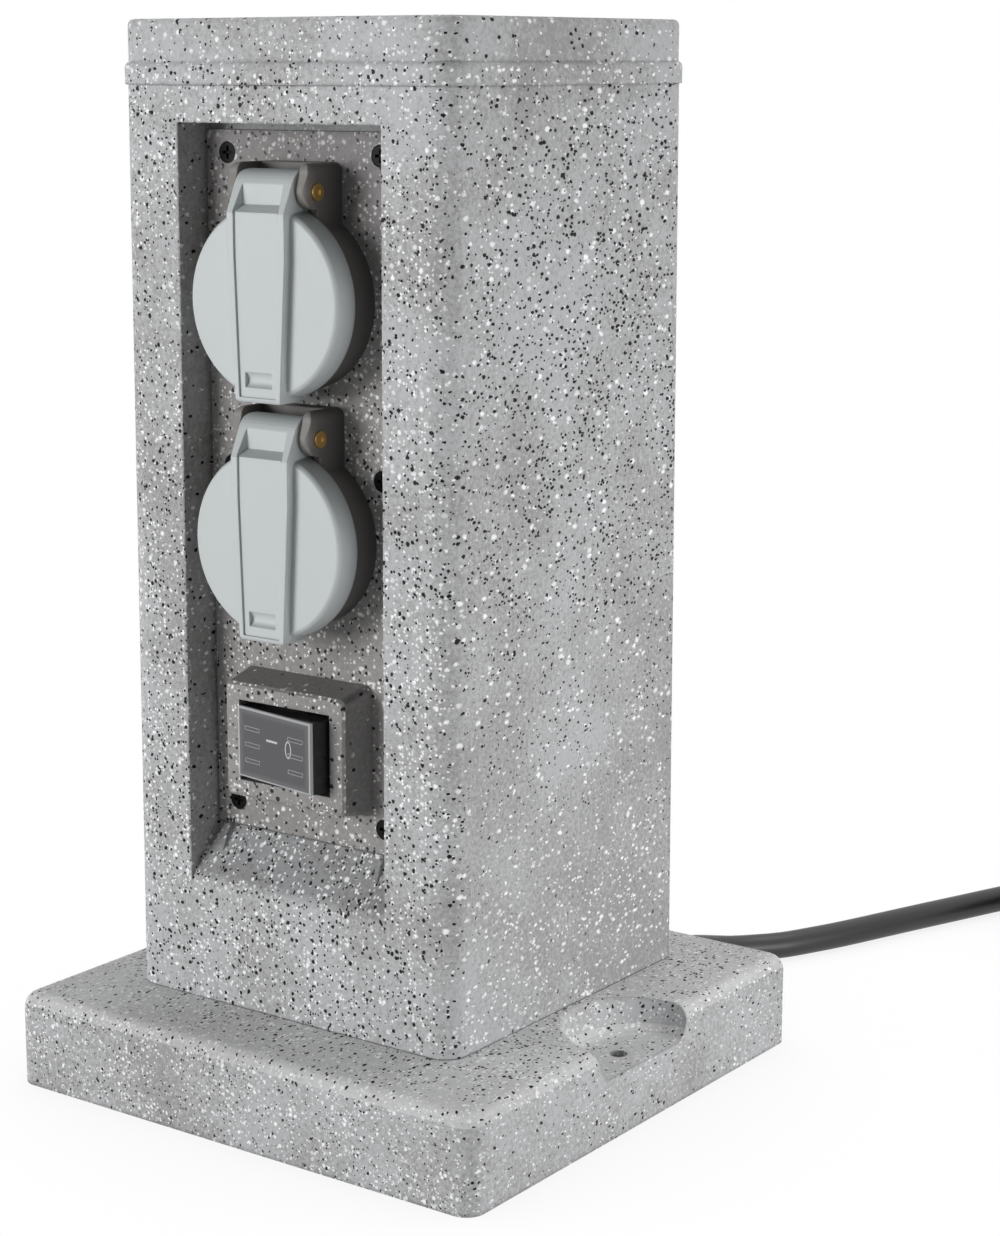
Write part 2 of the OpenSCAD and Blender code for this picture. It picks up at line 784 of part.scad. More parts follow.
// Torsion spring: four curls round the pin, one leg on the block and one on the lid
module lid_spring(z) {
    wire_r = 0.4;
    mean_r = pin_d / 2 + run_gap + wire_r + 0.45;
    curls = 4;
    per = 8;
    span = 5;
    leg_a = 33;
    leg_r = pocket_r - wire_r - 0.1;
    p = concat(
        [[-span / 2, leg_r * cos(leg_a), leg_r * sin(leg_a)], [-span / 2, 3.2, 1.9]],
        [for (i = [0:curls * per + per / 2])
            let (a = 20 + 360 * i / per)
            [-span / 2 + span * i / (curls * per + per / 2), mean_r * cos(a), mean_r * sin(a)]],
        [[span / 2, -3.05, -1.2]]);
    color(steel_colour)
    translate([0, pin_y, z + pin_up])
        tube(p, wire_r, 6, [1, 0, 0]);
}

// Lid

// Side view of the strap, counted from the hinge pin: tab, back, barrel, and the slope from the
// barrel down to the fold in the front
function strap_side() =
    let (front = strap_y - pin_y,
        back = lid_back_y - pin_y,
        low = -pin_up - tab_down,
        fold = [front, -fold_down],
        touch = 360 + atan2(fold.y, fold.x) - acos(barrel_r / norm(fold)))
    concat(
        arc([front + 1.2, low + 1.2], 1.2, 180, 270, 4),
        [[back, low], [back, -sqrt(pow(barrel_r, 2) - pow(back, 2))]],
        arc([0, 0], barrel_r, -80, touch, 24),
        [fold]);

// The strap's front outline between two heights, its corners rounded: full width at the hinge,
// less from the shoulder down to the tab, and trimmed on each side
module strap_front(bottom, top, r, trim_top = 0, trim_low = 0) {
    low = -pin_up - tab_down;
    shoulder = strap_shoulder - pin_up;
    wide = strap_w / 2 - trim_top;
    narrow = tab_w / 2 - trim_low;
    slim = narrow + (wide - narrow) * (bottom - low) / (shoulder - low);
    rotate([90, 0, 0])
        linear_extrude(height = 40, center = true)
            polygon(concat(
                arc([r - slim, bottom + r], r, 180, 270, 4),
                arc([slim - r, bottom + r], r, 270, 360, 4), [[wide, shoulder]],
                arc([wide - r, top - r], r, 0, 90, 6), arc([r - wide, top - r], r, 90, 180, 6),
                [[-wide, shoulder]]));
}

module lid(z) {
    c = z + pin_up;
    front = strap_y - pin_y;
    low = -pin_up - tab_down;
    skirt_in = collar_d / 2 + collar_gap;
    sink_w = strap_w / 2 - 1.9;
    sink_in = 3.4;
    sink_up = 2.1;
    sink_top = 2.4;
    spring_r = barrel_r - 1.9;
    spring_w = 6.4;
    thumb_r = (pow(thumb_h / 2, 2) + pow(thumb_in, 2)) / (2 * thumb_in);
    color(lid_grey)
    difference() {
        union() {
            round_y(z, concat(
                [[0, -lid_back_y], [lid_d / 2, -lid_back_y], [lid_d / 2, -lid_back_y + 0.6]],
                [[lid_face_d / 2 + 0.75, -lid_face_y - 0.9], [lid_face_d / 2 + 0.35, -lid_face_y - 0.35]],
                [[lid_face_d / 2 - 0.15, -lid_face_y], [0, -lid_face_y]]));
            translate([0, pin_y, c])
                intersection() {
                    along_x(strap_w, strap_side());
                    strap_front(low, barrel_r, 1.2);
                }
        }
        // hollow behind the face
        round_y(z, [
            [0, -lid_back_y - 1], [skirt_in, -lid_back_y - 1], [skirt_in, -lid_back_y],
            [skirt_in - 0.75, -lid_back_y + 3], [skirt_in - 1.05, -lid_face_y - lid_t],
            [0, -lid_face_y - lid_t]]);
        rod_x(pin_y, c, strap_w + 2, pin_d / 2 + run_gap);
        // room for the spring in the barrel
        rod_x(pin_y, c, spring_w, spring_r, 48);
        translate([-spring_w / 2, pin_y, c - 3])
            cube([spring_w, barrel_r + 1, 6.6]);
        // sunk window in the slope above the fold, with drafted sides
        translate([0, pin_y, c])
            intersection() {
                along_x(strap_w, [
                    [front - 1, -fold_down - sink_up / sink_in], [front, -fold_down],
                    [front + sink_in, sink_up - fold_down], [front + sink_in, sink_top],
                    [front - 1, sink_top]]);
                translate([0, 0, -10])
                    linear_extrude(height = 20)
                        polygon([
                            [-sink_w, front - 1], [sink_w, front - 1], [sink_w, front],
                            [sink_w - 0.9, front + sink_in], [0.9 - sink_w, front + sink_in],
                            [-sink_w, front]]);
            }
        // sunk face of the strap
        intersection() {
            translate([-20, strap_y - 1, z - 40])
                cube([40, 1 + strap_sink, 80]);
            translate([0, pin_y, c])
                strap_front(low + 1.4, 0.2 - fold_down, 0.4, 2.2, 1.4);
        }
        // thumb scoop
        rod_x(strap_y + strap_sink + thumb_in - thumb_r, z + thumb_up - tab_down, thumb_w, thumb_r, 48);
    }
}

module lid_seal(z) {
    outer = collar_d / 2 - 1.1;
    face = -lid_face_y - lid_t;
    color(seal_grey)
    round_y(z, [
        [mouth_d / 2 - 3, face], [mouth_d / 2 - 3, face - 1], [mouth_d / 2, -mouth_y + 0.3],
        [outer, -mouth_y + 0.3], [outer, face]]);
}

// Switch

module switch_housing() {
    half_w = surround_w / 2;
    half_h = surround_h / 2;
    r = 2;
    color(panel_grey)
    difference() {
        hull()
            for (x = [-1, 1], z = [-1, 1]) {
                rod_y(x * (half_w - r), switch_z + z * (half_h - r), panel_y - eps, panel_y, r);
                rod_y(x * (half_w - surround_draft - r), switch_z + z * (half_h - 2 * surround_draft - r),
                    surround_y + 0.7, surround_y + 0.8, r);
                rod_y(x * (half_w - surround_draft - r), switch_z + z * (half_h - 2 * surround_draft - r),
                    surround_y, surround_y + eps, r - 0.8);
            }
        translate([-window_w / 2, surround_y - 1, switch_z - window_h / 2])
            cube([window_w, surround_d + 2, window_h]);
    }
}

pivot_r = 1.3;
ear_z = cover_h / 2 - cover_t - 1.4;

module switch_body() {
    gap = 0.15;
    deep = 25;
    color(blackish)
    difference() {
        union() {
            translate([-window_w / 2 + gap, well_floor_y, switch_z - window_h / 2 + gap])
                cube([window_w - 2 * gap, ledge_y + 1 - well_floor_y, window_h - 2 * gap]);
            translate([-window_w / 2 + 2, ledge_y, switch_z - window_h / 2 + 1])
                cube([window_w - 4, deep - 7, window_h - 2]);
            // shoulder behind the plate
            translate([-window_w / 2 - 1.5, ledge_y, switch_z - window_h / 2 - 1.3])
                cube([window_w + 3, 2, window_h + 2.6]);
            for (z = [-ear_z - 1.2, ear_z])
                translate([-2.5, rocker_y - 2, switch_z + z])
                    cube([5, well_floor_y - rocker_y + 3, 1.2]);
        }
        translate([0, rocker_y, switch_z - window_h / 2])
            cylinder(r = pivot_r + run_gap, h = window_h, $fn = 32);
        for (x = [-8, 8], z = [-5, 5])
            translate([x - 3.2, ledge_y + deep - 11, switch_z + z - 0.5])
                cube([6.4, 5, 1]);
    }
}

module switch_terminals() {
    color(brass_colour)
    for (x = [-8, 8], z = [-5, 5])
        difference() {
            translate([x - 3.15, ledge_y + 25 - 10.9, switch_z + z - 0.4])
                cube([6.3, 11, 0.8]);
            translate([x, ledge_y + 22.4, switch_z + z - 1])
                cylinder(r = 0.9, h = 2, $fn = 20);
        }
}

// The rocker and its cover stand at the tilt that the photographed switch has
module tilted() {
    translate([0, rocker_y, switch_z])
        rotate([0, 0, -rocker_tilt])
            children();
}

module switch_rocker() {
    half_w = cover_w / 2 - cover_t - 0.2;
    half_h = ear_z - 0.3;
    plate_t = 3.1;
    rib_h = 0.5;
    rib_w = 6.2;
    rib_t = 1.2;
    rib_x = 9;
    rib_step = 4.5;
    color(blackish)
    tilted() {
        translate([-half_w, -cover_out + cover_t + rib_h, -half_h])
            cube([2 * half_w, plate_t, 2 * half_h]);
        // grip ribs under the clear cover
        for (x = [-1, 1], i = [-1:1])
            translate([x * rib_x - rib_w / 2, -cover_out + cover_t, i * rib_step - 0.3 - rib_t / 2])
                cube([rib_w, rib_h + 0.5, rib_t]);
        translate([-4, -cover_out + cover_t + plate_t - 1, -half_h])
            cube([8, 6, 2 * half_h]);
        cylinder(r = pivot_r, h = 2 * (ear_z + 1.1), center = true, $fn = 32);
    }
}

module rocker_cover() {
    inner = cover_w - 2 * cover_t;
    color([0.25, 0.26, 0.28, 0.6])
    tilted()
        difference() {
            along_x(cover_w, [
                [-cover_out + 0.35, -cover_h / 2], [3.8, -cover_h / 2], [3.8, cover_h / 2],
                [-cover_out + 0.35, cover_h / 2], [-cover_out, cover_h / 2 - 0.35],
                [-cover_out, -cover_h / 2 + 0.35]]);
            translate([-inner / 2, -cover_out + cover_t, -cover_h / 2 + cover_t])
                cube([inner, 10, cover_h - 2 * cover_t]);
        }
}

// Back box

// Outline of the back box in X and Z, drawn in by inset, and notched round the plate's bosses
module back_outline(inset) {
    difference() {
        translate([-back_w / 2 + inset, back_z0 + inset])
            square([back_w - 2 * inset, back_z1 - back_z0 - 2 * inset]);
        for (x = [-1, 1], z = screw_rows)
            translate([x * screw_dx / 2, z])
                circle(r = boss_r + 0.7 + inset, $fn = 40);
    }
}

module back_slab(inset, y0, y1) {
    translate([0, y1, 0])
        rotate([90, 0, 0])
            linear_extrude(height = y1 - y0)
                back_outline(inset);
}

module rear_cover() {
    color("#6b6e70")
    difference() {
        union() {
            difference() {
                back_slab(0, back_y0, back_y1);
                back_slab(back_wall, back_y0 - 1, back_y1 - back_wall);
            }
            for (x = [-1, 1], z = tower_z)
                rod_y(x * tower_x, z, ledge_y + pillar_h, back_y1 - 1, tower_r);
        }
        for (x = [-1, 1], z = tower_z) {
            rod_y(x * tower_x, z, ledge_y + pillar_h - 1, back_y1, 1.7);
            rod_y(x * tower_x, z, ledge_y + pillar_h + 3, back_y1 + 1, 3.3);
        }
        translate([0, gland_y, back_z0 - 1])
            cylinder(r = gland_r + 0.1, h = 4);
    }
}

module cover_seal() {
    color(seal_grey)
    difference() {
        back_slab(0.2, ledge_y, back_y0);
        back_slab(back_wall - 0.2, ledge_y - 1, back_y0 + 1);
    }
}

module cover_screws() {
    head_y = ledge_y + pillar_h + 3;
    color(steel_colour)
    for (x = [-1, 1], z = tower_z)
        difference() {
            union() {
                rod_y(x * tower_x, z, head_y, head_y + 2, 2.9);
                rod_y(x * tower_x, z, ledge_y - 0.5, head_y + 1, 1.25);
            }
            translate([x * tower_x - 2, head_y + 1, z - 0.4])
                cube([4, 2, 0.8]);
        }
}

module terminal_block() {
    pole = 9;
    deep = 12;
    y1 = back_y1 - back_wall;
    color("#d8d6cf")
    difference() {
        for (i = [-1:1]) {
            translate([i * pole - pole / 2 + 0.4, y1 - deep, block_z - 10])
                cube([pole - 0.8, deep, 20]);
            translate([i * pole - pole / 2 - 0.1, y1 - 4, block_z - 5])
                cube([pole + 0.2, 4, 10]);
        }
        for (i = [-1:1], z = [-11, 4])
            translate([i * pole, y1 - 7, block_z + z])
                cylinder(r = 1.5, h = 7, $fn = 24);
        for (i = [-1:1], z = [-5, 5])
            rod_y(i * pole, block_z + z, y1 - deep - 1, y1 - deep + 2, 1.6, 24);
    }
}

wire_r = 1.1;
wire_y = ledge_y + 27;
block_y = back_y1 - back_wall - 7;
contact_end = mouth_y + well_h + 17;
blade_y = ledge_y + 22;

module wire(p) {
    tube(p, wire_r, 6, [1, 0.13, 0.07]);
}

// Wires of one pole, at side s: terminal to switch, switch to lower socket, and on to the upper
module pole_wires(s) {
    x = s * contact_dx / 2;
    wire([[s * 9, block_y, block_z - 4], [s * 9, block_y, block_z - 13],
        [s * 8.6, wire_y + 6, block_z - 22], [s * 8, blade_y + 1, switch_z + 16],
        [s * 8, blade_y, switch_z + 11], [s * 8, blade_y, switch_z + 5.4]]);
    wire([[s * 8, blade_y, switch_z - 5.4], [s * 8, blade_y, switch_z - 9],
        [s * 11, wire_y, switch_z - 13], [s * 16, wire_y + 3, switch_z - 6],
        [s * 15, wire_y + 2, switch_z + 10], [s * 12.6, wire_y, switch_z + 22],
        [s * 12.6, wire_y, lower_z - 20],
        [x + s * 1.4, contact_end + 4, lower_z - 3.4], [x, contact_end + 3, lower_z - 1.4],
        [x, contact_end, lower_z - 1.4]]);
    wire([[x, contact_end, lower_z + 1.4], [x, contact_end + 3, lower_z + 1.4],
        [s * 12, wire_y, lower_z + 12], [s * 13, wire_y, lower_z + 40],
        [x + s * 0.6, contact_end + 5, upper_z - 4], [x, contact_end + 3, upper_z],
        [x, contact_end, upper_z]]);
}

module live_wires() {
    color("#7a4a2c")
        pole_wires(1);
}

module neutral_wires() {
    color("#2f5f9a")
        pole_wires(-1);
}

module earth_wires() {
    color("#7fae3a") {
        wire([[0, block_y, block_z + 4], [0, block_y, block_z + 13], [0, wire_y, block_z + 15.6],
            [0, rivet_end + 4, lower_z - 1.2], [0, rivet_end, lower_z - 1.2]]);
        wire([[0, rivet_end, lower_z + 1.2], [0, rivet_end + 4, lower_z + 1.2],
            [0, wire_y, lower_z + 12], [0, wire_y, upper_z - 14], [0, rivet_end + 4, upper_z],
            [0, rivet_end, upper_z]]);
    }
}

gland_r = 7.5;

module cover_gland() {
    color(blackish)
    translate([0, gland_y, 0])
        difference() {
            union() {
                translate([0, 0, back_z0 - 3.5])
                    cylinder(r = 10, h = 3.5, $fn = 48);
                translate([0, 0, back_z0 - 1])
                    cylinder(r = gland_r, h = 8, $fn = 48);
                translate([0, 0, back_z0 - 12])
                    cylinder(r1 = 7, r2 = 9, h = 8.6, $fn = 48);
                translate([0, 0, back_z0 + back_wall])
                    cylinder(r = 9.6, h = 4, $fn = 6);
            }
            translate([0, 0, back_z0 + back_wall + 1])
                cylinder(r = cord_d / 2, h = 6, $fn = 32);
        }
}

// Lead, coil and plug

sleeve_neck_r = 6.4;
sleeve_in = 2.5;
foot_back = foot_w / 2;
sleeve_end_y = foot_back + sleeve_l;

module inner_lead() {
    p = [[exit_x, foot_back - foot_wall - sleeve_in, exit_z], [exit_x, 64, exit_z], [24, 48, 9.2],
        [17, 32, 9.6], [9, 17, 12], [3, 4, 19], [0, -6, 31], [0, -14, 44], [0, -18.6, 54],
        [0, gland_y, back_z0 - 21], [0, gland_y, back_z0 - 12]];
    color(blackish)
    tube(p, cord_d / 2, 8, [1, 0, 0]);
}

module cord_sleeve() {
    wall_y = foot_back - foot_wall;
    color(blackish)
    translate([exit_x, 0, exit_z])
        rotate([-90, 0, 0])
            rotate_extrude($fn = 48)
                polygon([
                    [0, wall_y - sleeve_in], [8, wall_y - sleeve_in], [8, wall_y],
                    [sleeve_neck_r, wall_y], [sleeve_neck_r, foot_back], [8, foot_back],
                    [8, foot_back + 2], [7, foot_back + 2.6], [6.6, foot_back + 3],
                    [cord_d / 2 + 0.8, sleeve_end_y - 0.6], [cord_d / 2 + 0.3, sleeve_end_y],
                    [0, sleeve_end_y]]);
}

// Route of the lead on the ground, from the strain relief to the coil
floor_z = 4.5;
lead_route = [
    [exit_x, sleeve_end_y + cord_d, exit_z], [27.8, 121, 7], [31.6, 129.6, 5.2], [36.8, 137.4, 4.6], [42.3, 144.8, floor_z],
    [47, 154, floor_z], [52.4, 166, floor_z], [58.6, 182.2, floor_z], [64.9, 198.8, floor_z],
    [71, 214.4, floor_z], [76, 227.4, floor_z], [81.2, 240.5, floor_z]];
coil_c = [143.3, 246];
coil_a0 = 155.2;
coil_a1 = coil_a0 - 360 * coil_turns;
coil_start = coil_at(0) - cord_d * heading(coil_a0);
plug_z = plug_d / 2;

function heading(a) = [sin(a), -cos(a), 0];
// Point of the coil after t turns: in at a steady rate, out again, and one layer up in the
// half turn where it reverses
function coil_at(t) =
    let (r = coil_r - coil_step * min(t, coil_turns - t),
        a = coil_a0 - 360 * t,
        up = min(max(t - coil_turns / 2 + 0.25, 0) * 2, 1))
    [coil_c[0] + r * cos(a), coil_c[1] + r * sin(a), floor_z + coil_rise * (1 - cos(180 * up)) / 2];
function tail_at(s) =
    let (rise = plug_z - floor_z - coil_rise, f = min(max((s - 4) / (tail_l - cord_d - 4), 0), 1))
    coil_at(coil_turns) + s * heading(coil_a1) + [0, 0, rise * (1 - cos(180 * f)) / 2];

coil_steps = round(24 * coil_turns);
coil_path = concat(
    [coil_start],
    [for (i = [0:coil_steps]) coil_at(coil_turns * i / coil_steps)],
    [for (s = [6:6:tail_l - cord_d - 1]) tail_at(s)],
    [tail_at(tail_l - cord_d), tail_at(tail_l)]);

// Least gap between the coil and itself, measured between its path's points
half_turn = 12;
coil_gap = min([for (i = [0:len(coil_path) - 1 - half_turn], j = [i + half_turn:len(coil_path) - 1])
    norm(coil_path[i] - coil_path[j])]) - cord_d;
function path_len(p) = len(p) < 2 ? 0 :
    [for (i = [1:len(p) - 1]) norm(p[i] - p[i - 1])] * [for (i = [1:len(p) - 1]) 1];

supply_path = concat([[exit_x, sleeve_end_y, exit_z]], lead_route,
    [coil_start - cord_d * heading(coil_a0), coil_start]);
cord_length = path_len(supply_path) + path_len(coil_path);
echo(coil_gap = coil_gap, cord_length = cord_length, coil_start = coil_start);

module supply_cord() {
    color(blackish)
    tube(supply_path, cord_d / 2, 10);
}

module cord_coil() {
    color(blackish)
    tube(coil_path, cord_d / 2, 6);
}

// The plug lies on the ground beside the coil, with its pins pointing on along the lead
plug_at = tail_at(tail_l);
module at_plug() {
    translate(plug_at)
        rotate([0, 0, atan2(heading(coil_a1)[1], heading(coil_a1)[0])])
            rotate([0, 90, 0])
                children();
}
plug_l = 60;

module plug_body() {
    r = plug_d / 2;
    color(blackish)
    at_plug()
        difference() {
            rotate_extrude($fn = 72)
                polygon(concat(
                    [[0, 0], [cord_d / 2 + 0.6, 0], [7.4, 21], [9.5, 23], [13, 26], [14.6, 31]],
                    [[14.2, 38], [15, 44], [17.2, 48], [r, 50], [r, plug_l - 1], [r - 1, plug_l]],
                    [[0, plug_l]]));
            for (s = [-1, 1]) {
                // side grooves for the socket's ribs
                translate([-3, s * (r + 1) - 2.5, plug_l - 17])
                    cube([6, 5, 18]);
                // seats of the earth strips
                translate([s * (r - 0.2) - 1.5, -3.4, plug_l - 16])
                    cube([3, 6.8, 17]);
                translate([0, s * contact_dx / 2, plug_l - 8])
                    cylinder(r = 2.4 + run_gap, h = 9, $fn = 32);
            }
        }
}

module plug_pins() {
    color(steel_colour)
    at_plug()
        for (s = [-1, 1])
            translate([0, s * contact_dx / 2, plug_l - 8])
                rotate_extrude($fn = 32)
                    polygon([[0, 0], [2.4, 0], [2.4, 26], [1.6, 27], [0, 27]]);
}

module plug_earth_strips() {
    r = plug_d / 2;
    color(steel_colour)
    at_plug()
        for (s = [-1, 1])
            translate([s * (r - 1.4) - 0.3, -3.1, plug_l - 15.8])
                cube([0.6, 6.2, 14.4]);
}

plinth();
plinth_screws();
post();
cap();
socket_panel();
panel_screws();
socket_housing(upper_z);  // upper_socket_housing
socket_housing(lower_z);  // lower_socket_housing
socket_insert(upper_z);  // upper_socket_insert
socket_insert(lower_z);  // lower_socket_insert
ring_nut(upper_z);  // upper_ring_nut
ring_nut(lower_z);  // lower_ring_nut
contacts(upper_z);  // upper_contacts
contacts(lower_z);  // lower_contacts
earth_clip(upper_z);  // upper_earth_clip
earth_clip(lower_z);  // lower_earth_clip
hinge_pin(upper_z);  // upper_hinge_pin
hinge_pin(lower_z);  // lower_hinge_pin
lid_spring(upper_z);  // upper_lid_spring
lid_spring(lower_z);  // lower_lid_spring
lid(upper_z);  // upper_lid
lid(lower_z);  // lower_lid
lid_seal(upper_z);  // upper_lid_seal
lid_seal(lower_z);  // lower_lid_seal
switch_housing();
switch_body();
switch_terminals();
switch_rocker();
rocker_cover();
rear_cover();
cover_seal();
cover_screws();
terminal_block();
live_wires();
neutral_wires();
earth_wires();
cover_gland();
inner_lead();
cord_sleeve();
supply_cord();
cord_coil();
plug_body();
plug_pins();
plug_earth_strips();
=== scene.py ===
import math

import bpy
from mathutils import Matrix, Vector


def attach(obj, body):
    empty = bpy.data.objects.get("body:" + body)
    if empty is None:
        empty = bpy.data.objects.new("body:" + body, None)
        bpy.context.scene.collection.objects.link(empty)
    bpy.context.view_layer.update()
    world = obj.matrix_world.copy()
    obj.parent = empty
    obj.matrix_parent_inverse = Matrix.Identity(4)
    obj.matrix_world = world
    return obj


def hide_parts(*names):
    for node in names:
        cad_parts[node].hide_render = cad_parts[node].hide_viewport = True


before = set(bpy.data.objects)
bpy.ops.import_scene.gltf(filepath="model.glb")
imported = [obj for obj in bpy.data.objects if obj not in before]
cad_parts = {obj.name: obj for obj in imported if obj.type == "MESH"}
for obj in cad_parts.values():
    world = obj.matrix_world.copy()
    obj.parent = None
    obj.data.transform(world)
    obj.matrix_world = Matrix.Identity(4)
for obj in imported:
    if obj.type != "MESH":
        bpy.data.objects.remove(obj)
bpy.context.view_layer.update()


# Camera: a long lens about as high as the cap, which looks a little down from the right of the
# sockets' front, as the photograph was taken. Lengths whose names end in _mm or _MM are in
# millimetres, and the others in metres.
mm = 0.001
view_turn = math.radians(36.6535)
view_down = math.radians(11.7184)
view_roll = math.radians(-0.0774)
backward = Vector((
    math.sin(view_turn) * math.cos(view_down),
    -math.cos(view_turn) * math.cos(view_down),
    math.sin(view_down)))
level = Vector((math.cos(view_turn), math.sin(view_turn), 0.0))
upright = backward.cross(level)
sideways = level * math.cos(view_roll) + upright * math.sin(view_roll)
upward = upright * math.cos(view_roll) - level * math.sin(view_roll)
COLUMN_W = 0.113
CAMERA_RIGHT = 0.1014 * COLUMN_W
CAMERA_UP = 1.1539 * COLUMN_W
CAMERA_AWAY = 7.0151 * COLUMN_W
camera_data = bpy.data.cameras.new("camera")
camera_data.lens = 78.12
camera_data.sensor_width = 36
camera_data.shift_x = 0.0405
camera_data.clip_start = 0.01
camera = bpy.data.objects.new("camera", camera_data)
camera.matrix_world = Matrix.LocRotScale(
    level * CAMERA_RIGHT + upright * CAMERA_UP + backward * CAMERA_AWAY,
    Matrix((sideways, upward, backward)).transposed(), None)
bpy.context.collection.objects.link(camera)
bpy.context.scene.camera = camera
bpy.context.scene.view_settings.view_transform = "Standard"


# Mains lead: one black rubber-sheathed lead, round, 8.5 mm thick and about 1.5 m long. It lies on
# the ground behind the foot and is wound into a coil, just outside the picture. It is a curve
# with a round bevel, which starts in the foot's rubber sleeve and ends in the plug.
CORD_MM = 8.5
SLEEVE_END_MM = (26, 103, 9)
FLOOR_MM = 4.5
ROUTE_MM = [
    (26, 111.5, 9), (27.8, 121, 7), (31.6, 129.6, 5.2), (36.8, 137.4, 4.6), (42.3, 144.8, 4.5),
    (47, 154, 4.5), (52.4, 166, 4.5), (58.6, 182.2, 4.5), (64.9, 198.8, 4.5),
    (71, 214.4, 4.5), (76, 227.4, 4.5), (81.2, 240.5, 4.5)]
COIL_MIDDLE_MM = Vector((143.3, 246, FLOOR_MM))
COIL_START = 155.2
COIL_TURNS = 4.458
COIL_RADIUS_MM = 54.8
COIL_STEP_MM = 9.2
COIL_RISE_MM = 9.1
COIL_STEPS_A_TURN = 48
TAIL_MM = 42
TAIL_LEVEL_MM = 4
TAIL_STEP_MM = 3
PLUG_MM = 37


def coil_heading(degrees):
    """The way the lead runs where the coil is at this angle."""
    turn = math.radians(degrees)
    return Vector((math.sin(turn), -math.cos(turn), 0))


def coil_point(turns):
    """A spot on the coil, which winds in at a steady rate, climbs a layer in the half turn at its
    middle, and winds out again."""
    radius = COIL_RADIUS_MM - COIL_STEP_MM * min(turns, COIL_TURNS - turns)
    turn = math.radians(COIL_START - 360 * turns)
    climb = min(max(turns - COIL_TURNS / 2 + 0.25, 0) * 2, 1)
    height = COIL_RISE_MM * (1 - math.cos(math.pi * climb)) / 2
    return COIL_MIDDLE_MM + Vector((radius * math.cos(turn), radius * math.sin(turn), height))


coil_end_heading = coil_heading(COIL_START - 360 * COIL_TURNS)


def tail_point(distance):
    """A spot on the straight tail, which rises from the coil to the middle of the plug."""
    rise = PLUG_MM / 2 - FLOOR_MM - COIL_RISE_MM
    share = min(max((distance - TAIL_LEVEL_MM) / (TAIL_MM - CORD_MM - TAIL_LEVEL_MM), 0), 1)
    return (coil_point(COIL_TURNS) + distance * coil_end_heading
            + Vector((0, 0, rise * (1 - math.cos(math.pi * share)) / 2)))


def smooth_line(knots, step_mm=4):
    """Points every few millimetres on a smooth curve through the knots."""
    knots = [Vector(k) for k in knots]
    line = [knots[0]]
    for i in range(len(knots) - 1):
        before, start, end = knots[max(i - 1, 0)], knots[i], knots[i + 1]
        after = knots[min(i + 2, len(knots) - 1)]
        leave, arrive = (end - before) / 2, (after - start) / 2
        if i == 0:
            leave = end - start
        if i == len(knots) - 2:
            arrive = end - start
        count = max(2, round((end - start).length / step_mm))
        for k in range(1, count + 1):
            t = k / count
            line.append(
                start * (2 * t**3 - 3 * t**2 + 1) + leave * (t**3 - 2 * t**2 + t)
                + end * (3 * t**2 - 2 * t**3) + arrive * (t**3 - t**2))
    return line


coil_lead_in = coil_point(0) - CORD_MM * coil_heading(COIL_START)
laid = smooth_line(
    [SLEEVE_END_MM] + ROUTE_MM
    + [coil_lead_in - CORD_MM * coil_heading(COIL_START), coil_lead_in])
coil_steps = round(COIL_TURNS * COIL_STEPS_A_TURN)
wound = [coil_point(COIL_TURNS * i / coil_steps) for i in range(coil_steps + 1)]
tail = [tail_point(s) for s in range(TAIL_STEP_MM, int(TAIL_MM - CORD_MM), TAIL_STEP_MM)]
cord_line = laid + wound + tail + [tail_point(TAIL_MM - CORD_MM), tail_point(TAIL_MM)]
cord_curve = bpy.data.curves.new("mains_cord", "CURVE")
cord_curve.dimensions = "3D"
cord_curve.bevel_depth = CORD_MM / 2 * mm
cord_curve.bevel_resolution = 7
cord_curve.use_fill_caps = True
cord_spline = cord_curve.splines.new("POLY")
cord_spline.points.add(len(cord_line) - 1)
for knot, point in zip(cord_spline.points, cord_line):
    knot.co = (*(point * mm), 1)
mains_cord = bpy.data.objects.new("mains_cord", cord_curve)
bpy.context.collection.objects.link(mains_cord)


def add_node(tree, kind, **values):
    """Adds a node, with its settings and the values of its sockets."""
    made = tree.nodes.new(kind)
    for name, value in values.items():
        if hasattr(made, name):
            setattr(made, name, value)
        else:
            made.inputs[name.replace("_", " ")].default_value = value
    return made


def plain_material(name, colour, roughness, edge_mm=0.3, metallic=0.0, shine=0.5):
    """An even finish, whose sharp edges catch the light as if rounded by edge_mm."""
    material = bpy.data.materials.new(name)
    material.use_nodes = True
    tree = material.node_tree
    surface = tree.nodes["Principled BSDF"]
    surface.inputs["Base Color"].default_value = (*colour, 1)
    surface.inputs["Roughness"].default_value = roughness
    surface.inputs["Metallic"].default_value = metallic
    surface.inputs["Specular IOR Level"].default_value = shine
    if edge_mm:
        edge = add_node(tree, "ShaderNodeBevel", samples=4, Radius=edge_mm * mm)
        tree.links.new(edge.outputs["Normal"], surface.inputs["Normal"])
    return material


def give(material, *names):
    """Puts a material on CAD nodes."""
    for name in names:
        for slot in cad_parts[name].material_slots:
            slot.material = material


black_rubber = plain_material("black_rubber", (0.03, 0.029, 0.031), 0.42, edge_mm=0.4)
cord_curve.materials.append(black_rubber)
give(black_rubber, "cord_sleeve", "plug_body", "inner_lead")
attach(mains_cord, "column")
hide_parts("supply_cord", "cord_coil")
cord_length = sum((b - a).length for a, b in zip(cord_line, cord_line[1:])) * mm

bright_steel = plain_material("bright_steel", (0.56, 0.57, 0.58), 0.28, edge_mm=0.15, metallic=1.0)
give(bright_steel, "plug_pins", "plug_earth_strips")


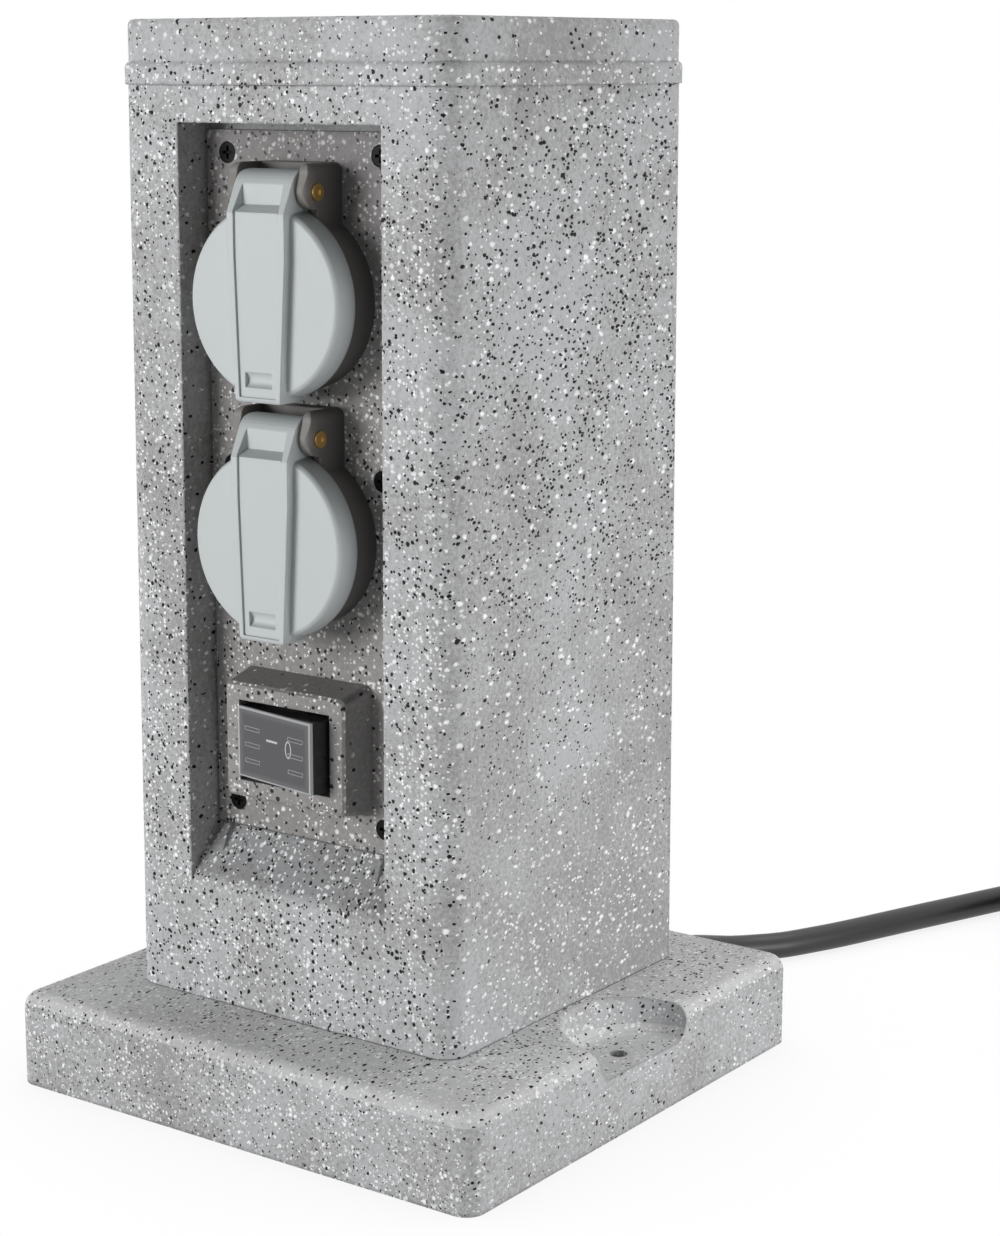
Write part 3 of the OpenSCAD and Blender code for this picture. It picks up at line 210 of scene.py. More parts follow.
# Foot, column and cap: moulded plastic with a sprayed granite finish, mid grey with white and
# black flecks, a few black streaks and soft darker clouds. Little spray reaches into the recess.
# A fine line of painted shade runs round the column where it stands on the foot, surfaces that
# look up above the foot get painted shade, and those of the foot painted light.
def ramp(tree, value, start, end, low=0.0, high=1.0):
    """Goes from low to high as the value goes from start to end."""
    spread = add_node(tree, "ShaderNodeMapRange")
    spread.inputs["From Min"].default_value = start
    spread.inputs["From Max"].default_value = end
    spread.inputs["To Min"].default_value = low
    spread.inputs["To Max"].default_value = high
    tree.links.new(value, spread.inputs["Value"])
    return spread.outputs[0]


def combine(tree, operation, first, second):
    """A Math node's result from two values, the second of them a socket or a number."""
    both = add_node(tree, "ShaderNodeMath", operation=operation)
    tree.links.new(first, both.inputs[0])
    if isinstance(second, float):
        both.inputs[1].default_value = second
    else:
        tree.links.new(second, both.inputs[1])
    return both.outputs[0]


def along(tree, axis):
    """How far along X, Y or Z a spot lies, in metres: axis is 0, 1 or 2."""
    parts = add_node(tree, "ShaderNodeSeparateXYZ")
    tree.links.new(add_node(tree, "ShaderNodeTexCoord").outputs["Object"], parts.inputs[0])
    return parts.outputs[axis]


def facing(tree, axis):
    """How much a surface faces along X, Y or Z: its normal's part on axis 0, 1 or 2."""
    parts = add_node(tree, "ShaderNodeSeparateXYZ")
    tree.links.new(add_node(tree, "ShaderNodeTexCoord").outputs["Normal"], parts.inputs[0])
    return parts.outputs[axis]


def blend_colour(tree, below, mask, colour):
    """Lays a colour over another where the mask is 1."""
    mix = add_node(tree, "ShaderNodeMix", data_type="RGBA")
    tree.links.new(mask, mix.inputs[0])
    tree.links.new(below, mix.inputs[6])
    mix.inputs[7].default_value = (*colour, 1)
    return mix.outputs[2]


def tint(material, mask, colour):
    """Lays a colour over a finish where the mask, made in the finish's own tree, is 1."""
    tree = material.node_tree
    surface_colour = tree.nodes["Principled BSDF"].inputs["Base Color"]
    if surface_colour.is_linked:
        below = surface_colour.links[0].from_socket
    else:
        even = add_node(tree, "ShaderNodeRGB")
        even.outputs[0].default_value = surface_colour.default_value
        below = even.outputs[0]
    tree.links.new(blend_colour(tree, below, mask, colour), surface_colour)


def flecks(tree, place, size_mm, share, small, large, soft_edge, faint, shift, density):
    """Mask of scattered flecks: a cell every size_mm, a share of the cells filled where density
    is 1, the fleck's radius from small to large as a part of a cell, its strength from faint
    to 1."""
    moved = add_node(tree, "ShaderNodeMapping", Location=(shift, shift * 1.7, shift * 0.6))
    cells = add_node(tree, "ShaderNodeTexVoronoi", Scale=1 / (size_mm * mm), Randomness=1.0)
    luck = add_node(tree, "ShaderNodeSeparateColor")
    chosen = add_node(tree, "ShaderNodeMath", operation="LESS_THAN")
    tree.links.new(combine(tree, "MULTIPLY", density, share), chosen.inputs[1])
    reach = add_node(tree, "ShaderNodeMapRange")
    reach.inputs["To Min"].default_value = small
    reach.inputs["To Max"].default_value = large
    inside = add_node(tree, "ShaderNodeMath", operation="SUBTRACT")
    soft = add_node(tree, "ShaderNodeMapRange")
    soft.inputs["From Min"].default_value = -soft_edge
    soft.inputs["From Max"].default_value = soft_edge
    both = add_node(tree, "ShaderNodeMath", operation="MULTIPLY")
    tree.links.new(place, moved.inputs["Vector"])
    tree.links.new(moved.outputs[0], cells.inputs["Vector"])
    tree.links.new(cells.outputs["Color"], luck.inputs[0])
    tree.links.new(luck.outputs[0], chosen.inputs[0])
    tree.links.new(luck.outputs[1], reach.inputs["Value"])
    tree.links.new(reach.outputs[0], inside.inputs[0])
    tree.links.new(cells.outputs["Distance"], inside.inputs[1])
    tree.links.new(inside.outputs[0], soft.inputs["Value"])
    tree.links.new(soft.outputs[0], both.inputs[0])
    tree.links.new(chosen.outputs[0], both.inputs[1])
    strength = ramp(tree, luck.outputs[2], 0.0, 1.0, low=faint, high=1.0)
    return combine(tree, "MULTIPLY", both.outputs[0], strength)


def patchy(tree, spread_mm, shift, low, high):
    """A spray density that varies from patch to patch."""
    moved = add_node(tree, "ShaderNodeMapping", Location=(shift, shift, shift))
    tree.links.new(add_node(tree, "ShaderNodeTexCoord").outputs["Object"], moved.inputs["Vector"])
    patches = add_node(
        tree, "ShaderNodeTexNoise", Scale=1 / (spread_mm * mm), Detail=2.0, Roughness=0.5)
    tree.links.new(moved.outputs[0], patches.inputs["Vector"])
    return ramp(tree, patches.outputs["Fac"], 0.38, 0.62, low, high)


RECESS_HALF_W = 0.0345
RECESS_FRONT_Y = -0.0558
RECESS_TOP_Z = 0.2733
PLATE_BEHIND_Y = -0.04
CAP_FOOT_Z = 0.287
FOOT_SIDE_Z = 0.0275
ABOVE_FOOT_Z = 0.04
ABOVE_FOOT_FADE = 0.01


def spray_in_recess(tree):
    """1 outside the recess and on its sill, and little on its walls."""
    aside = combine(tree, "ABSOLUTE", along(tree, 0), 0.0)
    beside = ramp(tree, aside, RECESS_HALF_W, RECESS_HALF_W + 0.0003)
    before = ramp(
        tree, along(tree, 1), RECESS_FRONT_Y, RECESS_FRONT_Y + 0.001, low=1.0, high=0.0)
    above = ramp(tree, along(tree, 2), RECESS_TOP_Z, RECESS_TOP_Z + 0.0002)
    behind = ramp(tree, along(tree, 1), PLATE_BEHIND_Y, PLATE_BEHIND_Y + 0.005)
    on_sill = ramp(tree, facing(tree, 2), 0.1, 0.4)
    reached = beside
    for other in (before, above, behind, on_sill):
        reached = combine(tree, "MAXIMUM", reached, other)
    return ramp(tree, reached, 0.0, 1.0, low=0.35, high=1.0)


def sprayed_all_round(tree):
    """How much white spray a face gets, then how much black: less of both on the sides, the cap
    and the recess's walls. The foot has less black, and more white on its sides than the column."""
    reached = spray_in_recess(tree)
    sideways = combine(tree, "ABSOLUTE", facing(tree, 0), 0.0)
    on_foot = ramp(
        tree, along(tree, 2), FOOT_SIDE_Z, FOOT_SIDE_Z + 0.0005, low=1.0, high=0.0)
    white = combine(
        tree, "MAXIMUM", ramp(tree, sideways, 0.4, 0.9, low=0.74, high=0.34),
        combine(tree, "MULTIPLY", on_foot, 0.62))
    black = combine(
        tree, "MULTIPLY", ramp(tree, sideways, 0.4, 0.9, low=0.62, high=0.48),
        ramp(tree, on_foot, 0.0, 1.0, low=1.0, high=0.6))
    for share, cap_share, spread_mm, shift, low, high in (
            (white, 0.66, 22, 0.4, 0.72, 1.25), (black, 0.44, 26, 0.9, 0.76, 1.2)):
        on_cap = ramp(
            tree, along(tree, 2), CAP_FOOT_Z, CAP_FOOT_Z + 0.001, low=1.0, high=cap_share)
        share = combine(tree, "MULTIPLY", combine(tree, "MULTIPLY", share, on_cap), reached)
        yield combine(tree, "MULTIPLY", share, patchy(tree, spread_mm, shift, low, high))


def clouded_grey(tree, place, pale, dark, cloud_mm):
    """Grey that drifts between pale and dark, with a fine grain."""
    cloud = add_node(
        tree, "ShaderNodeTexNoise", Scale=1 / (cloud_mm * mm), Detail=3.0, Roughness=0.55)
    grain = add_node(tree, "ShaderNodeTexNoise", Scale=800.0, Detail=3.0, Roughness=0.75)
    tree.links.new(place, cloud.inputs["Vector"])
    tree.links.new(place, grain.inputs["Vector"])
    grey = add_node(tree, "ShaderNodeMix", data_type="RGBA")
    grey.inputs[6].default_value = (*dark, 1)
    grey.inputs[7].default_value = (*pale, 1)
    mottle = ramp(tree, grain.outputs["Fac"], 0.3, 0.7, low=-0.8, high=0.8)
    drift = ramp(tree, cloud.outputs["Fac"], 0.30, 0.62)
    tree.links.new(combine(tree, "ADD", drift, mottle), grey.inputs[0])
    return grey.outputs[2]


def painted_ledge_light_and_shade(tree, colour, ledge_top):
    """Painted light and shade: makes surfaces that look up paler on the foot, and darker from there
    to ledge_top.
    """
    up = ramp(tree, facing(tree, 2), 0.15, 0.6)
    height = along(tree, 2)
    above_foot = ramp(
        tree, height, ABOVE_FOOT_Z, ABOVE_FOOT_Z + ABOVE_FOOT_FADE, low=0.0, high=0.38)
    darker = combine(tree, "MULTIPLY", up, above_foot)
    darker = combine(
        tree, "MULTIPLY", darker,
        ramp(tree, height, ledge_top, ledge_top + 0.005, low=1.0, high=0.0))
    on_foot = ramp(
        tree, height, ABOVE_FOOT_Z, ABOVE_FOOT_Z + ABOVE_FOOT_FADE, low=0.50, high=0.0)
    paler = combine(tree, "MULTIPLY", up, on_foot)
    colour = blend_colour(tree, colour, darker, (0.03, 0.03, 0.03))
    return blend_colour(tree, colour, paler, (0.8, 0.8, 0.8))


def fleck_places(tree, place):
    """Places for the flecks, ragged and drawn out along Y, and places for the slanted streaks."""
    ragged = add_node(tree, "ShaderNodeTexNoise", Scale=1100.0, Detail=1.0)
    wide = add_node(tree, "ShaderNodeMapping", Scale=(1.0, 0.66, 1.0))
    push = add_node(tree, "ShaderNodeVectorMath", operation="MULTIPLY_ADD")
    push.inputs[1].default_value = (0.0007,) * 3
    slant = add_node(tree, "ShaderNodeMapping", Rotation=(0.5, 0.65, 0.0))
    stretch = add_node(tree, "ShaderNodeMapping", Scale=(1.0, 1.0, 0.3))
    tree.links.new(place, ragged.inputs["Vector"])
    tree.links.new(place, wide.inputs["Vector"])
    tree.links.new(ragged.outputs["Color"], push.inputs[0])
    tree.links.new(wide.outputs[0], push.inputs[2])
    tree.links.new(place, slant.inputs["Vector"])
    tree.links.new(slant.outputs[0], stretch.inputs["Vector"])
    return push.outputs[0], stretch.outputs[0]


def granite_material(name, pale, dark, cloud_mm, white, black, layers, spray, edge_mm,
                     roughness, ledge_top):
    """Clouded grey with black streaks and layers of flecks. A layer is (is white, size in mm,
    share of cells filled, smallest and largest radius in cells, shift)."""
    material = bpy.data.materials.new(name)
    material.use_nodes = True
    tree = material.node_tree
    surface = tree.nodes["Principled BSDF"]
    place = add_node(tree, "ShaderNodeTexCoord").outputs["Object"]
    white_spray, black_spray = spray(tree)
    fleck_place, streak_place = fleck_places(tree, place)
    # Painted shade and light on the surfaces that look up.
    colour = painted_ledge_light_and_shade(tree, clouded_grey(tree, place, pale, dark, cloud_mm), ledge_top)
    streaks = flecks(
        tree, streak_place, size_mm=1.8, share=0.09, small=0.14, large=0.26, soft_edge=0.03,
        faint=1.0, shift=6.71, density=black_spray)
    colour = blend_colour(tree, colour, streaks, black)
    for is_white, size_mm, share, small, large, shift in layers:
        mask = flecks(
            tree, fleck_place, size_mm, share, small, large,
            soft_edge=0.09 if is_white else 0.03, faint=0.45 if is_white else 1.0,
            shift=shift, density=white_spray if is_white else black_spray)
        colour = blend_colour(tree, colour, mask, white if is_white else black)
    tree.links.new(colour, surface.inputs["Base Color"])
    surface.inputs["Roughness"].default_value = roughness
    surface.inputs["Specular IOR Level"].default_value = 0.22
    edge = add_node(tree, "ShaderNodeBevel", samples=4, Radius=edge_mm * mm)
    tree.links.new(edge.outputs["Normal"], surface.inputs["Normal"])
    return material


PALE_GREY = (0.474, 0.480, 0.490)
DARK_GREY = (0.313, 0.310, 0.306)
FLECK_WHITE = (0.98, 0.985, 1.0)
FLECK_BLACK = (0.0, 0.0, 0.0)
CLOUD_MM = 40
LEDGE_TOP_Z = 0.09
COLUMN_LAYERS = [
    (True, 0.85, 0.28, 0.26, 0.50, 4.63),
    (True, 1.4, 0.34, 0.22, 0.42, 2.27),
    (True, 2.3, 0.36, 0.20, 0.34, 3.41),
    (False, 0.9, 0.25, 0.28, 0.48, 0.31),
    (False, 1.45, 0.28, 0.24, 0.42, 5.57),
    (False, 2.6, 0.22, 0.17, 0.26, 1.13)]
FOOT_FINER = 0.8
FOOT_LAYERS = [
    (is_white, size_mm * FOOT_FINER, *rest) for is_white, size_mm, *rest in COLUMN_LAYERS]
column_granite = granite_material(
    "granite", PALE_GREY, DARK_GREY, CLOUD_MM, FLECK_WHITE, FLECK_BLACK, COLUMN_LAYERS,
    sprayed_all_round, edge_mm=1.4, roughness=0.65, ledge_top=LEDGE_TOP_Z)
FOOT_TOP_Z = 0.029
SEAM_SHADE_H = 0.0004
# Painted shade: a thin dark line in the joint where the column stands on the foot.
seam_painted_shade = ramp(
    column_granite.node_tree, along(column_granite.node_tree, 2), FOOT_TOP_Z,
    FOOT_TOP_Z + SEAM_SHADE_H, low=0.85, high=0.0)
tint(column_granite, seam_painted_shade, (0.02, 0.02, 0.02))
give(column_granite, "post", "cap")
foot_granite = granite_material(
    "foot_granite", PALE_GREY, DARK_GREY, CLOUD_MM, FLECK_WHITE, FLECK_BLACK, FOOT_LAYERS,
    sprayed_all_round, edge_mm=2.6, roughness=0.65, ledge_top=LEDGE_TOP_Z)
give(foot_granite, "plinth")
give(bright_steel, "plinth_screws", "cover_screws", "upper_lid_spring", "lower_lid_spring")


# Plate and switch surround: darker warm grey plastic in the recess, with fewer flecks and hardly
# any on the surround's sides, and six black screws sunk into the plate. Painted shade darkens the
# plate towards the top of the recess, and the surfaces that look up lower down.
def sprayed_in_front(tree):
    """Spray of both kinds reaches mostly the faces that look forward."""
    front = ramp(tree, facing(tree, 1), -0.75, -0.35, low=0.9, high=0.12)
    return front, front


PANEL_LAYERS = [
    (True, 1.0, 0.26, 0.26, 0.46, 7.27),
    (True, 1.7, 0.30, 0.20, 0.40, 9.13),
    (True, 2.8, 0.28, 0.17, 0.29, 8.41),
    (False, 1.2, 0.18, 0.28, 0.46, 5.31),
    (False, 2.1, 0.24, 0.20, 0.34, 6.13)]
panel_plastic = granite_material(
    "panel_plastic", (0.292, 0.284, 0.278), (0.225, 0.219, 0.216), 60,
    (0.90, 0.90, 0.89), (0.004, 0.004, 0.004), PANEL_LAYERS, sprayed_in_front,
    edge_mm=0.3, roughness=0.55, ledge_top=0.2)
# Painted shade: the plate and surround darken towards the top of the recess, under its upper edge.
painted_top_shade = ramp(
    panel_plastic.node_tree, along(panel_plastic.node_tree, 2), 0.22, 0.27, low=0.0, high=0.42)
tint(panel_plastic, painted_top_shade, (0.085, 0.078, 0.082))
give(panel_plastic, "socket_panel", "switch_housing")
black_screw = plain_material("black_screw", (0.005, 0.005, 0.005), 0.4, edge_mm=0.15, shine=0.06)
give(black_screw, "panel_screws")


# Sockets: each has a collar with a hinge block in dark warm grey plastic, darkened towards the
# plate by painted shade, a darker well behind its lid, brass contacts and earth clips, and a ring
# nut behind the plate.
socket_plastic = plain_material("socket_plastic", (0.085, 0.082, 0.08), 0.5, edge_mm=0.7, shine=0.3)
PLATE_FACE_Y = -0.0455
# Painted shade: the housings are darkest at the plate and lighten towards their front.
painted_shade_ramp = ramp(
    socket_plastic.node_tree, along(socket_plastic.node_tree, 1), PLATE_FACE_Y - 0.002,
    PLATE_FACE_Y - 0.012)
tint(socket_plastic, painted_shade_ramp, (0.19, 0.18, 0.17))
give(socket_plastic, "upper_socket_housing", "lower_socket_housing")
well_plastic = plain_material("well_plastic", (0.085, 0.085, 0.082), 0.5, edge_mm=0.3)
give(well_plastic, "upper_socket_insert", "lower_socket_insert", "upper_ring_nut", "lower_ring_nut")
brass = plain_material("brass", (0.52, 0.34, 0.12), 0.3, edge_mm=0.2, metallic=1.0)
give(brass, "upper_contacts", "lower_contacts", "upper_earth_clip", "lower_earth_clip",
     "upper_hinge_pin", "lower_hinge_pin", "switch_terminals")


# Lids: pale green-grey satin plastic, round, with a raised strap that runs from the hinge to the
# thumb tab, and a dark rubber disc inside that seals the well. Painted shade darkens the lids'
# surfaces that look up.
lid_plastic = plain_material("lid_plastic", (0.505, 0.537, 0.537), 0.5, edge_mm=0.6, shine=0.35)
# Painted shade: the lids' surfaces that look up are darker.
painted_lid_top_shade = ramp(lid_plastic.node_tree, facing(lid_plastic.node_tree, 2), 0.2, 1.2)
tint(lid_plastic, painted_lid_top_shade, (0.25, 0.27, 0.27))
give(lid_plastic, "upper_lid", "lower_lid")
seal_rubber = plain_material("seal_rubber", (0.06, 0.062, 0.062), 0.7, edge_mm=0.2)
give(seal_rubber, "upper_lid_seal", "lower_lid_seal", "cover_seal")


# Switch: a black rocker under a hazy cap of soft clear plastic, in a black well. The cap's plate
# looks smoky over the rocker, with a painted highlight along its edges and painted light fading
# inwards from them, and its skirt nearly black.
switch_black = plain_material("switch_black", (0.012, 0.012, 0.013), 0.4, edge_mm=0.3)
give(switch_black, "switch_body", "switch_rocker", "cover_gland")
ROCKER_AXIS_MM = (0, -55.8, 106.6)
ROCKER_TILT = 9.7
COVER_OUT_MM = 4.0
COVER_PLATE_MM = 1.0
COVER_W_MM = 30.0
COVER_H_MM = 19.7
COVER_EDGE_MM = 0.45
cap_clear = plain_material("smoky_clear_cap", (0.062, 0.062, 0.067), 0.22, edge_mm=0)
cap_tree = cap_clear.node_tree
cap_place = add_node(cap_tree, "ShaderNodeVectorMath", operation="SUBTRACT")
cap_place.inputs[1].default_value = tuple(c * mm for c in ROCKER_AXIS_MM)
cap_level = add_node(cap_tree, "ShaderNodeVectorRotate", rotation_type="Z_AXIS")
cap_level.inputs["Angle"].default_value = math.radians(ROCKER_TILT)
cap_parts = add_node(cap_tree, "ShaderNodeSeparateXYZ")
cap_tree.links.new(add_node(cap_tree, "ShaderNodeTexCoord").outputs["Object"], cap_place.inputs[0])
cap_tree.links.new(cap_place.outputs[0], cap_level.inputs["Vector"])
cap_tree.links.new(cap_level.outputs[0], cap_parts.inputs[0])


def near_edge(axis, half_mm, fade_mm=0.15):
    """1 in the narrow strip along the cap's two edges across an axis, and fading inwards."""
    away = combine(cap_tree, "ABSOLUTE", cap_parts.outputs[axis], 0.0)
    inner = half_mm - COVER_EDGE_MM
    return ramp(cap_tree, away, (inner - fade_mm) * mm, inner * mm)


# Painted highlight: a pale strip along the cap's edges.
painted_edge_highlight = combine(
    cap_tree, "MAXIMUM", near_edge(0, COVER_W_MM / 2), near_edge(2, COVER_H_MM / 2))
plate_back = (COVER_PLATE_MM - COVER_OUT_MM) * mm
on_skirt = ramp(cap_tree, cap_parts.outputs[1], plate_back, plate_back + 0.0001)
# Painted light: a faint paler band fading inwards from the cap's edges.
painted_inner_light = combine(
    cap_tree, "MAXIMUM", near_edge(0, COVER_W_MM / 2, fade_mm=2.2),
    near_edge(2, COVER_H_MM / 2, fade_mm=1.8))
tint(cap_clear, combine(cap_tree, "MULTIPLY", painted_inner_light, 0.12), (0.5, 0.5, 0.5))
tint(cap_clear, painted_edge_highlight, (0.42, 0.43, 0.44))
tint(cap_clear, on_skirt, (0.012, 0.012, 0.013))
give(cap_clear, "rocker_cover")


# Marks on the switch: six pale outlines of the grip ribs, painted highlights on the ribs' edges
# seen through the cap, with a dash and a ring between them for on and off. They are thin strokes
# on the cap's face and move with the rocker.
def value_socket(tree, name, value):
    """A named length among the tree's inputs; gives the socket's identifier."""
    made = tree.interface.new_socket(name=name, in_out="INPUT", socket_type="NodeSocketFloat")
    made.default_value = value
    return made.identifier


def grip_highlight_tree(paint, sizes_mm):
    """Two columns of rib outlines for painted highlights, evenly spaced, and their sizes by input
    identifier.
    """
    tree = bpy.data.node_groups.new("grip_rib_highlights", "GeometryNodeTree")
    tree.interface.new_socket(name="Geometry", in_out="OUTPUT", socket_type="NodeSocketGeometry")
    sizes = {value_socket(tree, name, value * mm): value * mm for name, value in sizes_mm.items()}
    inputs = add_node(tree, "NodeGroupInput")
    columns = add_node(tree, "GeometryNodeMeshLine", count_mode="TOTAL", Count=2)
    rows = add_node(tree, "GeometryNodeMeshLine", count_mode="TOTAL", Count=3)
    column_step = add_node(tree, "ShaderNodeCombineXYZ")
    row_step = add_node(tree, "ShaderNodeCombineXYZ")
    first_column = add_node(tree, "ShaderNodeVectorMath", operation="SCALE", Scale=-0.5)
    first_row = add_node(tree, "ShaderNodeVectorMath", operation="SCALE", Scale=-1.0)
    both = add_node(tree, "GeometryNodeInstanceOnPoints")
    outline = add_node(tree, "GeometryNodeCurvePrimitiveQuadrilateral")
    stroke = add_node(tree, "GeometryNodeCurvePrimitiveCircle", Resolution=6)
    ribbon = add_node(tree, "GeometryNodeCurveToMesh")
    upright_turn = add_node(tree, "GeometryNodeTransform", Rotation=(math.pi / 2, 0, 0))
    ribs = add_node(tree, "GeometryNodeInstanceOnPoints")
    real = add_node(tree, "GeometryNodeRealizeInstances")
    paint_node = add_node(tree, "GeometryNodeSetMaterial", Material=paint)
    output = add_node(tree, "NodeGroupOutput")
    links = tree.links
    links.new(inputs.outputs["Column spacing"], column_step.inputs[0])
    links.new(inputs.outputs["Rib spacing"], row_step.inputs[2])
    links.new(column_step.outputs[0], columns.inputs["Offset"])
    links.new(column_step.outputs[0], first_column.inputs[0])
    links.new(first_column.outputs[0], columns.inputs["Start Location"])
    links.new(row_step.outputs[0], rows.inputs["Offset"])
    links.new(row_step.outputs[0], first_row.inputs[0])
    links.new(first_row.outputs[0], rows.inputs["Start Location"])
    links.new(columns.outputs[0], both.inputs["Points"])
    links.new(rows.outputs[0], both.inputs["Instance"])
    links.new(inputs.outputs["Rib width"], outline.inputs["Width"])
    links.new(inputs.outputs["Rib height"], outline.inputs["Height"])
    links.new(inputs.outputs["Stroke"], stroke.inputs["Radius"])
    links.new(outline.outputs[0], ribbon.inputs["Curve"])
    links.new(stroke.outputs[0], ribbon.inputs["Profile Curve"])
    links.new(ribbon.outputs[0], upright_turn.inputs["Geometry"])
    points = add_node(tree, "GeometryNodeRealizeInstances")
    links.new(both.outputs[0], points.inputs[0])
    links.new(points.outputs[0], ribs.inputs["Points"])
    links.new(upright_turn.outputs[0], ribs.inputs["Instance"])
    links.new(ribs.outputs[0], real.inputs[0])
    links.new(real.outputs[0], paint_node.inputs[0])
    links.new(paint_node.outputs[0], output.inputs[0])
    return tree, sizes


def finished_mesh(tree, sizes, name):
    """The tree's result as a plain mesh object at the origin."""
    holder = bpy.data.objects.new(name, bpy.data.meshes.new(name))
    bpy.context.collection.objects.link(holder)
    nodes = holder.modifiers.new("nodes", "NODES")
    nodes.node_group = tree
    for identifier, size in sizes.items():
        nodes[identifier] = size
    grown = holder.evaluated_get(bpy.context.evaluated_depsgraph_get())
    shape = bpy.data.meshes.new_from_object(grown)
    holder.modifiers.clear()
    holder.data = shape
    return holder


# Painted highlight: pale strokes on the cap's face where the grip ribs' edges catch the light under
# it.
rib_highlight_paint = plain_material("painted_rib_highlight", (0.34, 0.34, 0.35), 0.5)
bright_paint = plain_material("bright_mark", (0.48, 0.49, 0.50), 0.5)
grip_highlight_nodes, grip_highlight_sizes = grip_highlight_tree(rib_highlight_paint, {
    "Rib width": 6.0, "Rib height": 1.0, "Rib spacing": 4.5, "Column spacing": 18.0,
    "Stroke": 0.16})
grip_rib_highlights = finished_mesh(grip_highlight_nodes, grip_highlight_sizes, "grip_rib_highlights")


def stroke_ring(middle_mm, half_w_mm, half_h_mm, half_stroke_mm, count=40):
    """A flat upright ring as corner rows of a mesh: outer and inner points in turn."""
    points = []
    for i in range(count):
        turn = 2 * math.pi * i / count
        for grow in (half_stroke_mm, -half_stroke_mm):
            points.append((
                (middle_mm[0] + (half_w_mm + grow) * math.cos(turn)) * mm, 0,
                (middle_mm[1] + (half_h_mm + grow) * math.sin(turn)) * mm))
    faces = [(2 * i, 2 * i + 1, (2 * i + 3) % (2 * count), (2 * i + 2) % (2 * count))
             for i in range(count)]
    return points, faces


ring_points, ring_faces = stroke_ring(
    middle_mm=(6.0, 1.1), half_w_mm=1.1, half_h_mm=2.25, half_stroke_mm=0.18)
DASH_MIDDLE_MM = (-0.8, 2.2)
DASH_HALF_W_MM = 2.3
DASH_HALF_H_MM = 0.3
dash_points = [
    ((DASH_MIDDLE_MM[0] + x * DASH_HALF_W_MM) * mm, 0, (DASH_MIDDLE_MM[1] + z * DASH_HALF_H_MM) * mm)
    for x, z in ((-1, -1), (1, -1), (1, 1), (-1, 1))]
on_off = bpy.data.meshes.new("on_off_marks")
on_off.from_pydata(
    ring_points + dash_points, [],
    ring_faces + [tuple(len(ring_points) + k for k in range(4))])
on_off.materials.append(bright_paint)
on_off_marks = bpy.data.objects.new("on_off_marks", on_off)
bpy.context.collection.objects.link(on_off_marks)
FACE_STROKE_HEIGHT_MM = 0.02
RIB_SUNK_MM = 0.06
RIB_DROP_MM = 0.3
on_face = (Matrix.Translation(Vector(ROCKER_AXIS_MM) * mm)
           @ Matrix.Rotation(math.radians(-ROCKER_TILT), 4, "Z")
           @ Matrix.Translation((0, -(COVER_OUT_MM + FACE_STROKE_HEIGHT_MM) * mm, 0)))
grip_place = Matrix.Translation((0, RIB_SUNK_MM * mm, -RIB_DROP_MM * mm))
for face_strokes, place in ((grip_rib_highlights, grip_place), (on_off_marks, Matrix.Identity(4))):
    face_strokes.data.transform(on_face @ place)
    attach(face_strokes, "rocker_body")


# Back box: dark grey moulded plastic with an off-white terminal block and coloured wires, out of
# sight behind the plate.
give(plain_material("back_box", (0.12, 0.125, 0.13), 0.5, edge_mm=0.5), "rear_cover")
give(plain_material("terminal_plastic", (0.66, 0.64, 0.58), 0.35), "terminal_block")
give(plain_material("brown_wire", (0.16, 0.07, 0.035), 0.4, edge_mm=0), "live_wires")
give(plain_material("blue_wire", (0.03, 0.10, 0.32), 0.4, edge_mm=0), "neutral_wires")
give(plain_material("green_wire", (0.22, 0.42, 0.06), 0.4, edge_mm=0), "earth_wires")


# Floor and light: a plain pale floor that looks white apart from a soft painted shadow at the
# foot, darker where ambient occlusion finds the object near, a large soft lamp to the left of the
# sockets' front, one low on the right, a little behind that front, and a weak one overhead.
def seen_directly(tree):
    """1 for rays from the camera, and for those that gloss or glass sends on."""
    paths = add_node(tree, "ShaderNodeLightPath")
    view = combine(tree, "MAXIMUM", paths.outputs["Is Camera Ray"], paths.outputs["Is Glossy Ray"])
    return combine(tree, "MAXIMUM", view, paths.outputs["Is Transmission Ray"])


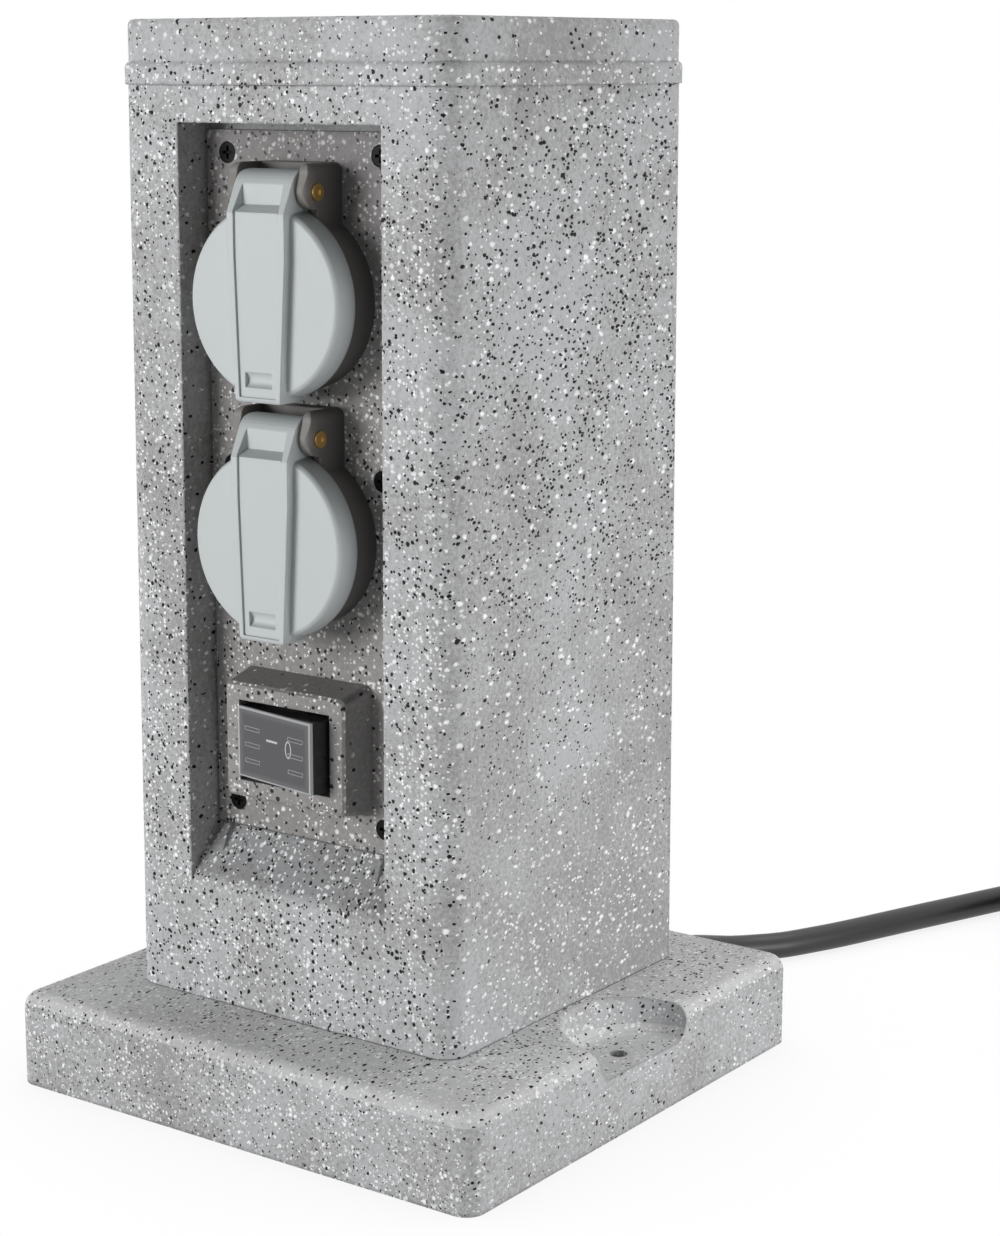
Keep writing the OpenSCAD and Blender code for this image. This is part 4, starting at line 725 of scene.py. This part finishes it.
floor_material = bpy.data.materials.new("pale_floor")
floor_material.use_nodes = True
floor_tree = floor_material.node_tree
floor_surface = floor_tree.nodes["Principled BSDF"]
floor_surface.inputs["Base Color"].default_value = (0.8, 0.8, 0.8, 1)
floor_surface.inputs["Roughness"].default_value = 0.9
floor_white = add_node(floor_tree, "ShaderNodeEmission", Color=(1, 1, 1, 1))
# Painted shadow: the white that the floor shows to the camera and to reflections is dimmed near the
# object by ambient occlusion.
painted_shadow_ao = add_node(floor_tree, "ShaderNodeAmbientOcclusion", samples=8, Distance=0.12)
floor_tree.links.new(
    ramp(floor_tree, painted_shadow_ao.outputs["AO"], 0.15, 0.9, low=0.86, high=1.0),
    floor_white.inputs["Strength"])
floor_mix = add_node(floor_tree, "ShaderNodeMixShader")
floor_tree.links.new(seen_directly(floor_tree), floor_mix.inputs[0])
floor_tree.links.new(floor_surface.outputs[0], floor_mix.inputs[1])
floor_tree.links.new(floor_white.outputs[0], floor_mix.inputs[2])
floor_tree.links.new(floor_mix.outputs[0], floor_tree.nodes["Material Output"].inputs["Surface"])
bpy.ops.mesh.primitive_plane_add(size=8, location=(0, 0, 0))
floor = bpy.context.object
floor.name = "floor"
floor.data.materials.append(floor_material)

world = bpy.data.worlds.new("studio")
bpy.context.scene.world = world
world.use_nodes = True
sky = world.node_tree
background = sky.nodes["Background"]
background.inputs["Color"].default_value = (1, 1, 1, 1)
sky.links.new(
    ramp(sky, seen_directly(sky), 0.0, 1.0, low=0.13, high=1.0), background.inputs["Strength"])


def soft_lamp(name, way, distance, height, size, power):
    """A square area lamp, in metres, away in one direction from a height on the column."""
    lamp_data = bpy.data.lights.new(name, "AREA")
    lamp_data.size = size
    lamp_data.energy = power
    lamp = bpy.data.objects.new(name, lamp_data)
    away = Vector(way).normalized()
    lamp.matrix_world = Matrix.LocRotScale(
        away * distance + Vector((0, 0, height)), away.to_track_quat("Z", "Y"), None)
    bpy.context.collection.objects.link(lamp)


soft_lamp("left_lamp", (-0.49, -0.86, 0.10), distance=2.4, height=0.24, size=1.1, power=47)
soft_lamp("right_lamp", (0.97, 0.12, 0.0), distance=0.62, height=0.05, size=0.26, power=2.9)
soft_lamp("top_lamp", (0.05, 0.3, 1.0), distance=1.1, height=0.15, size=0.7, power=6)
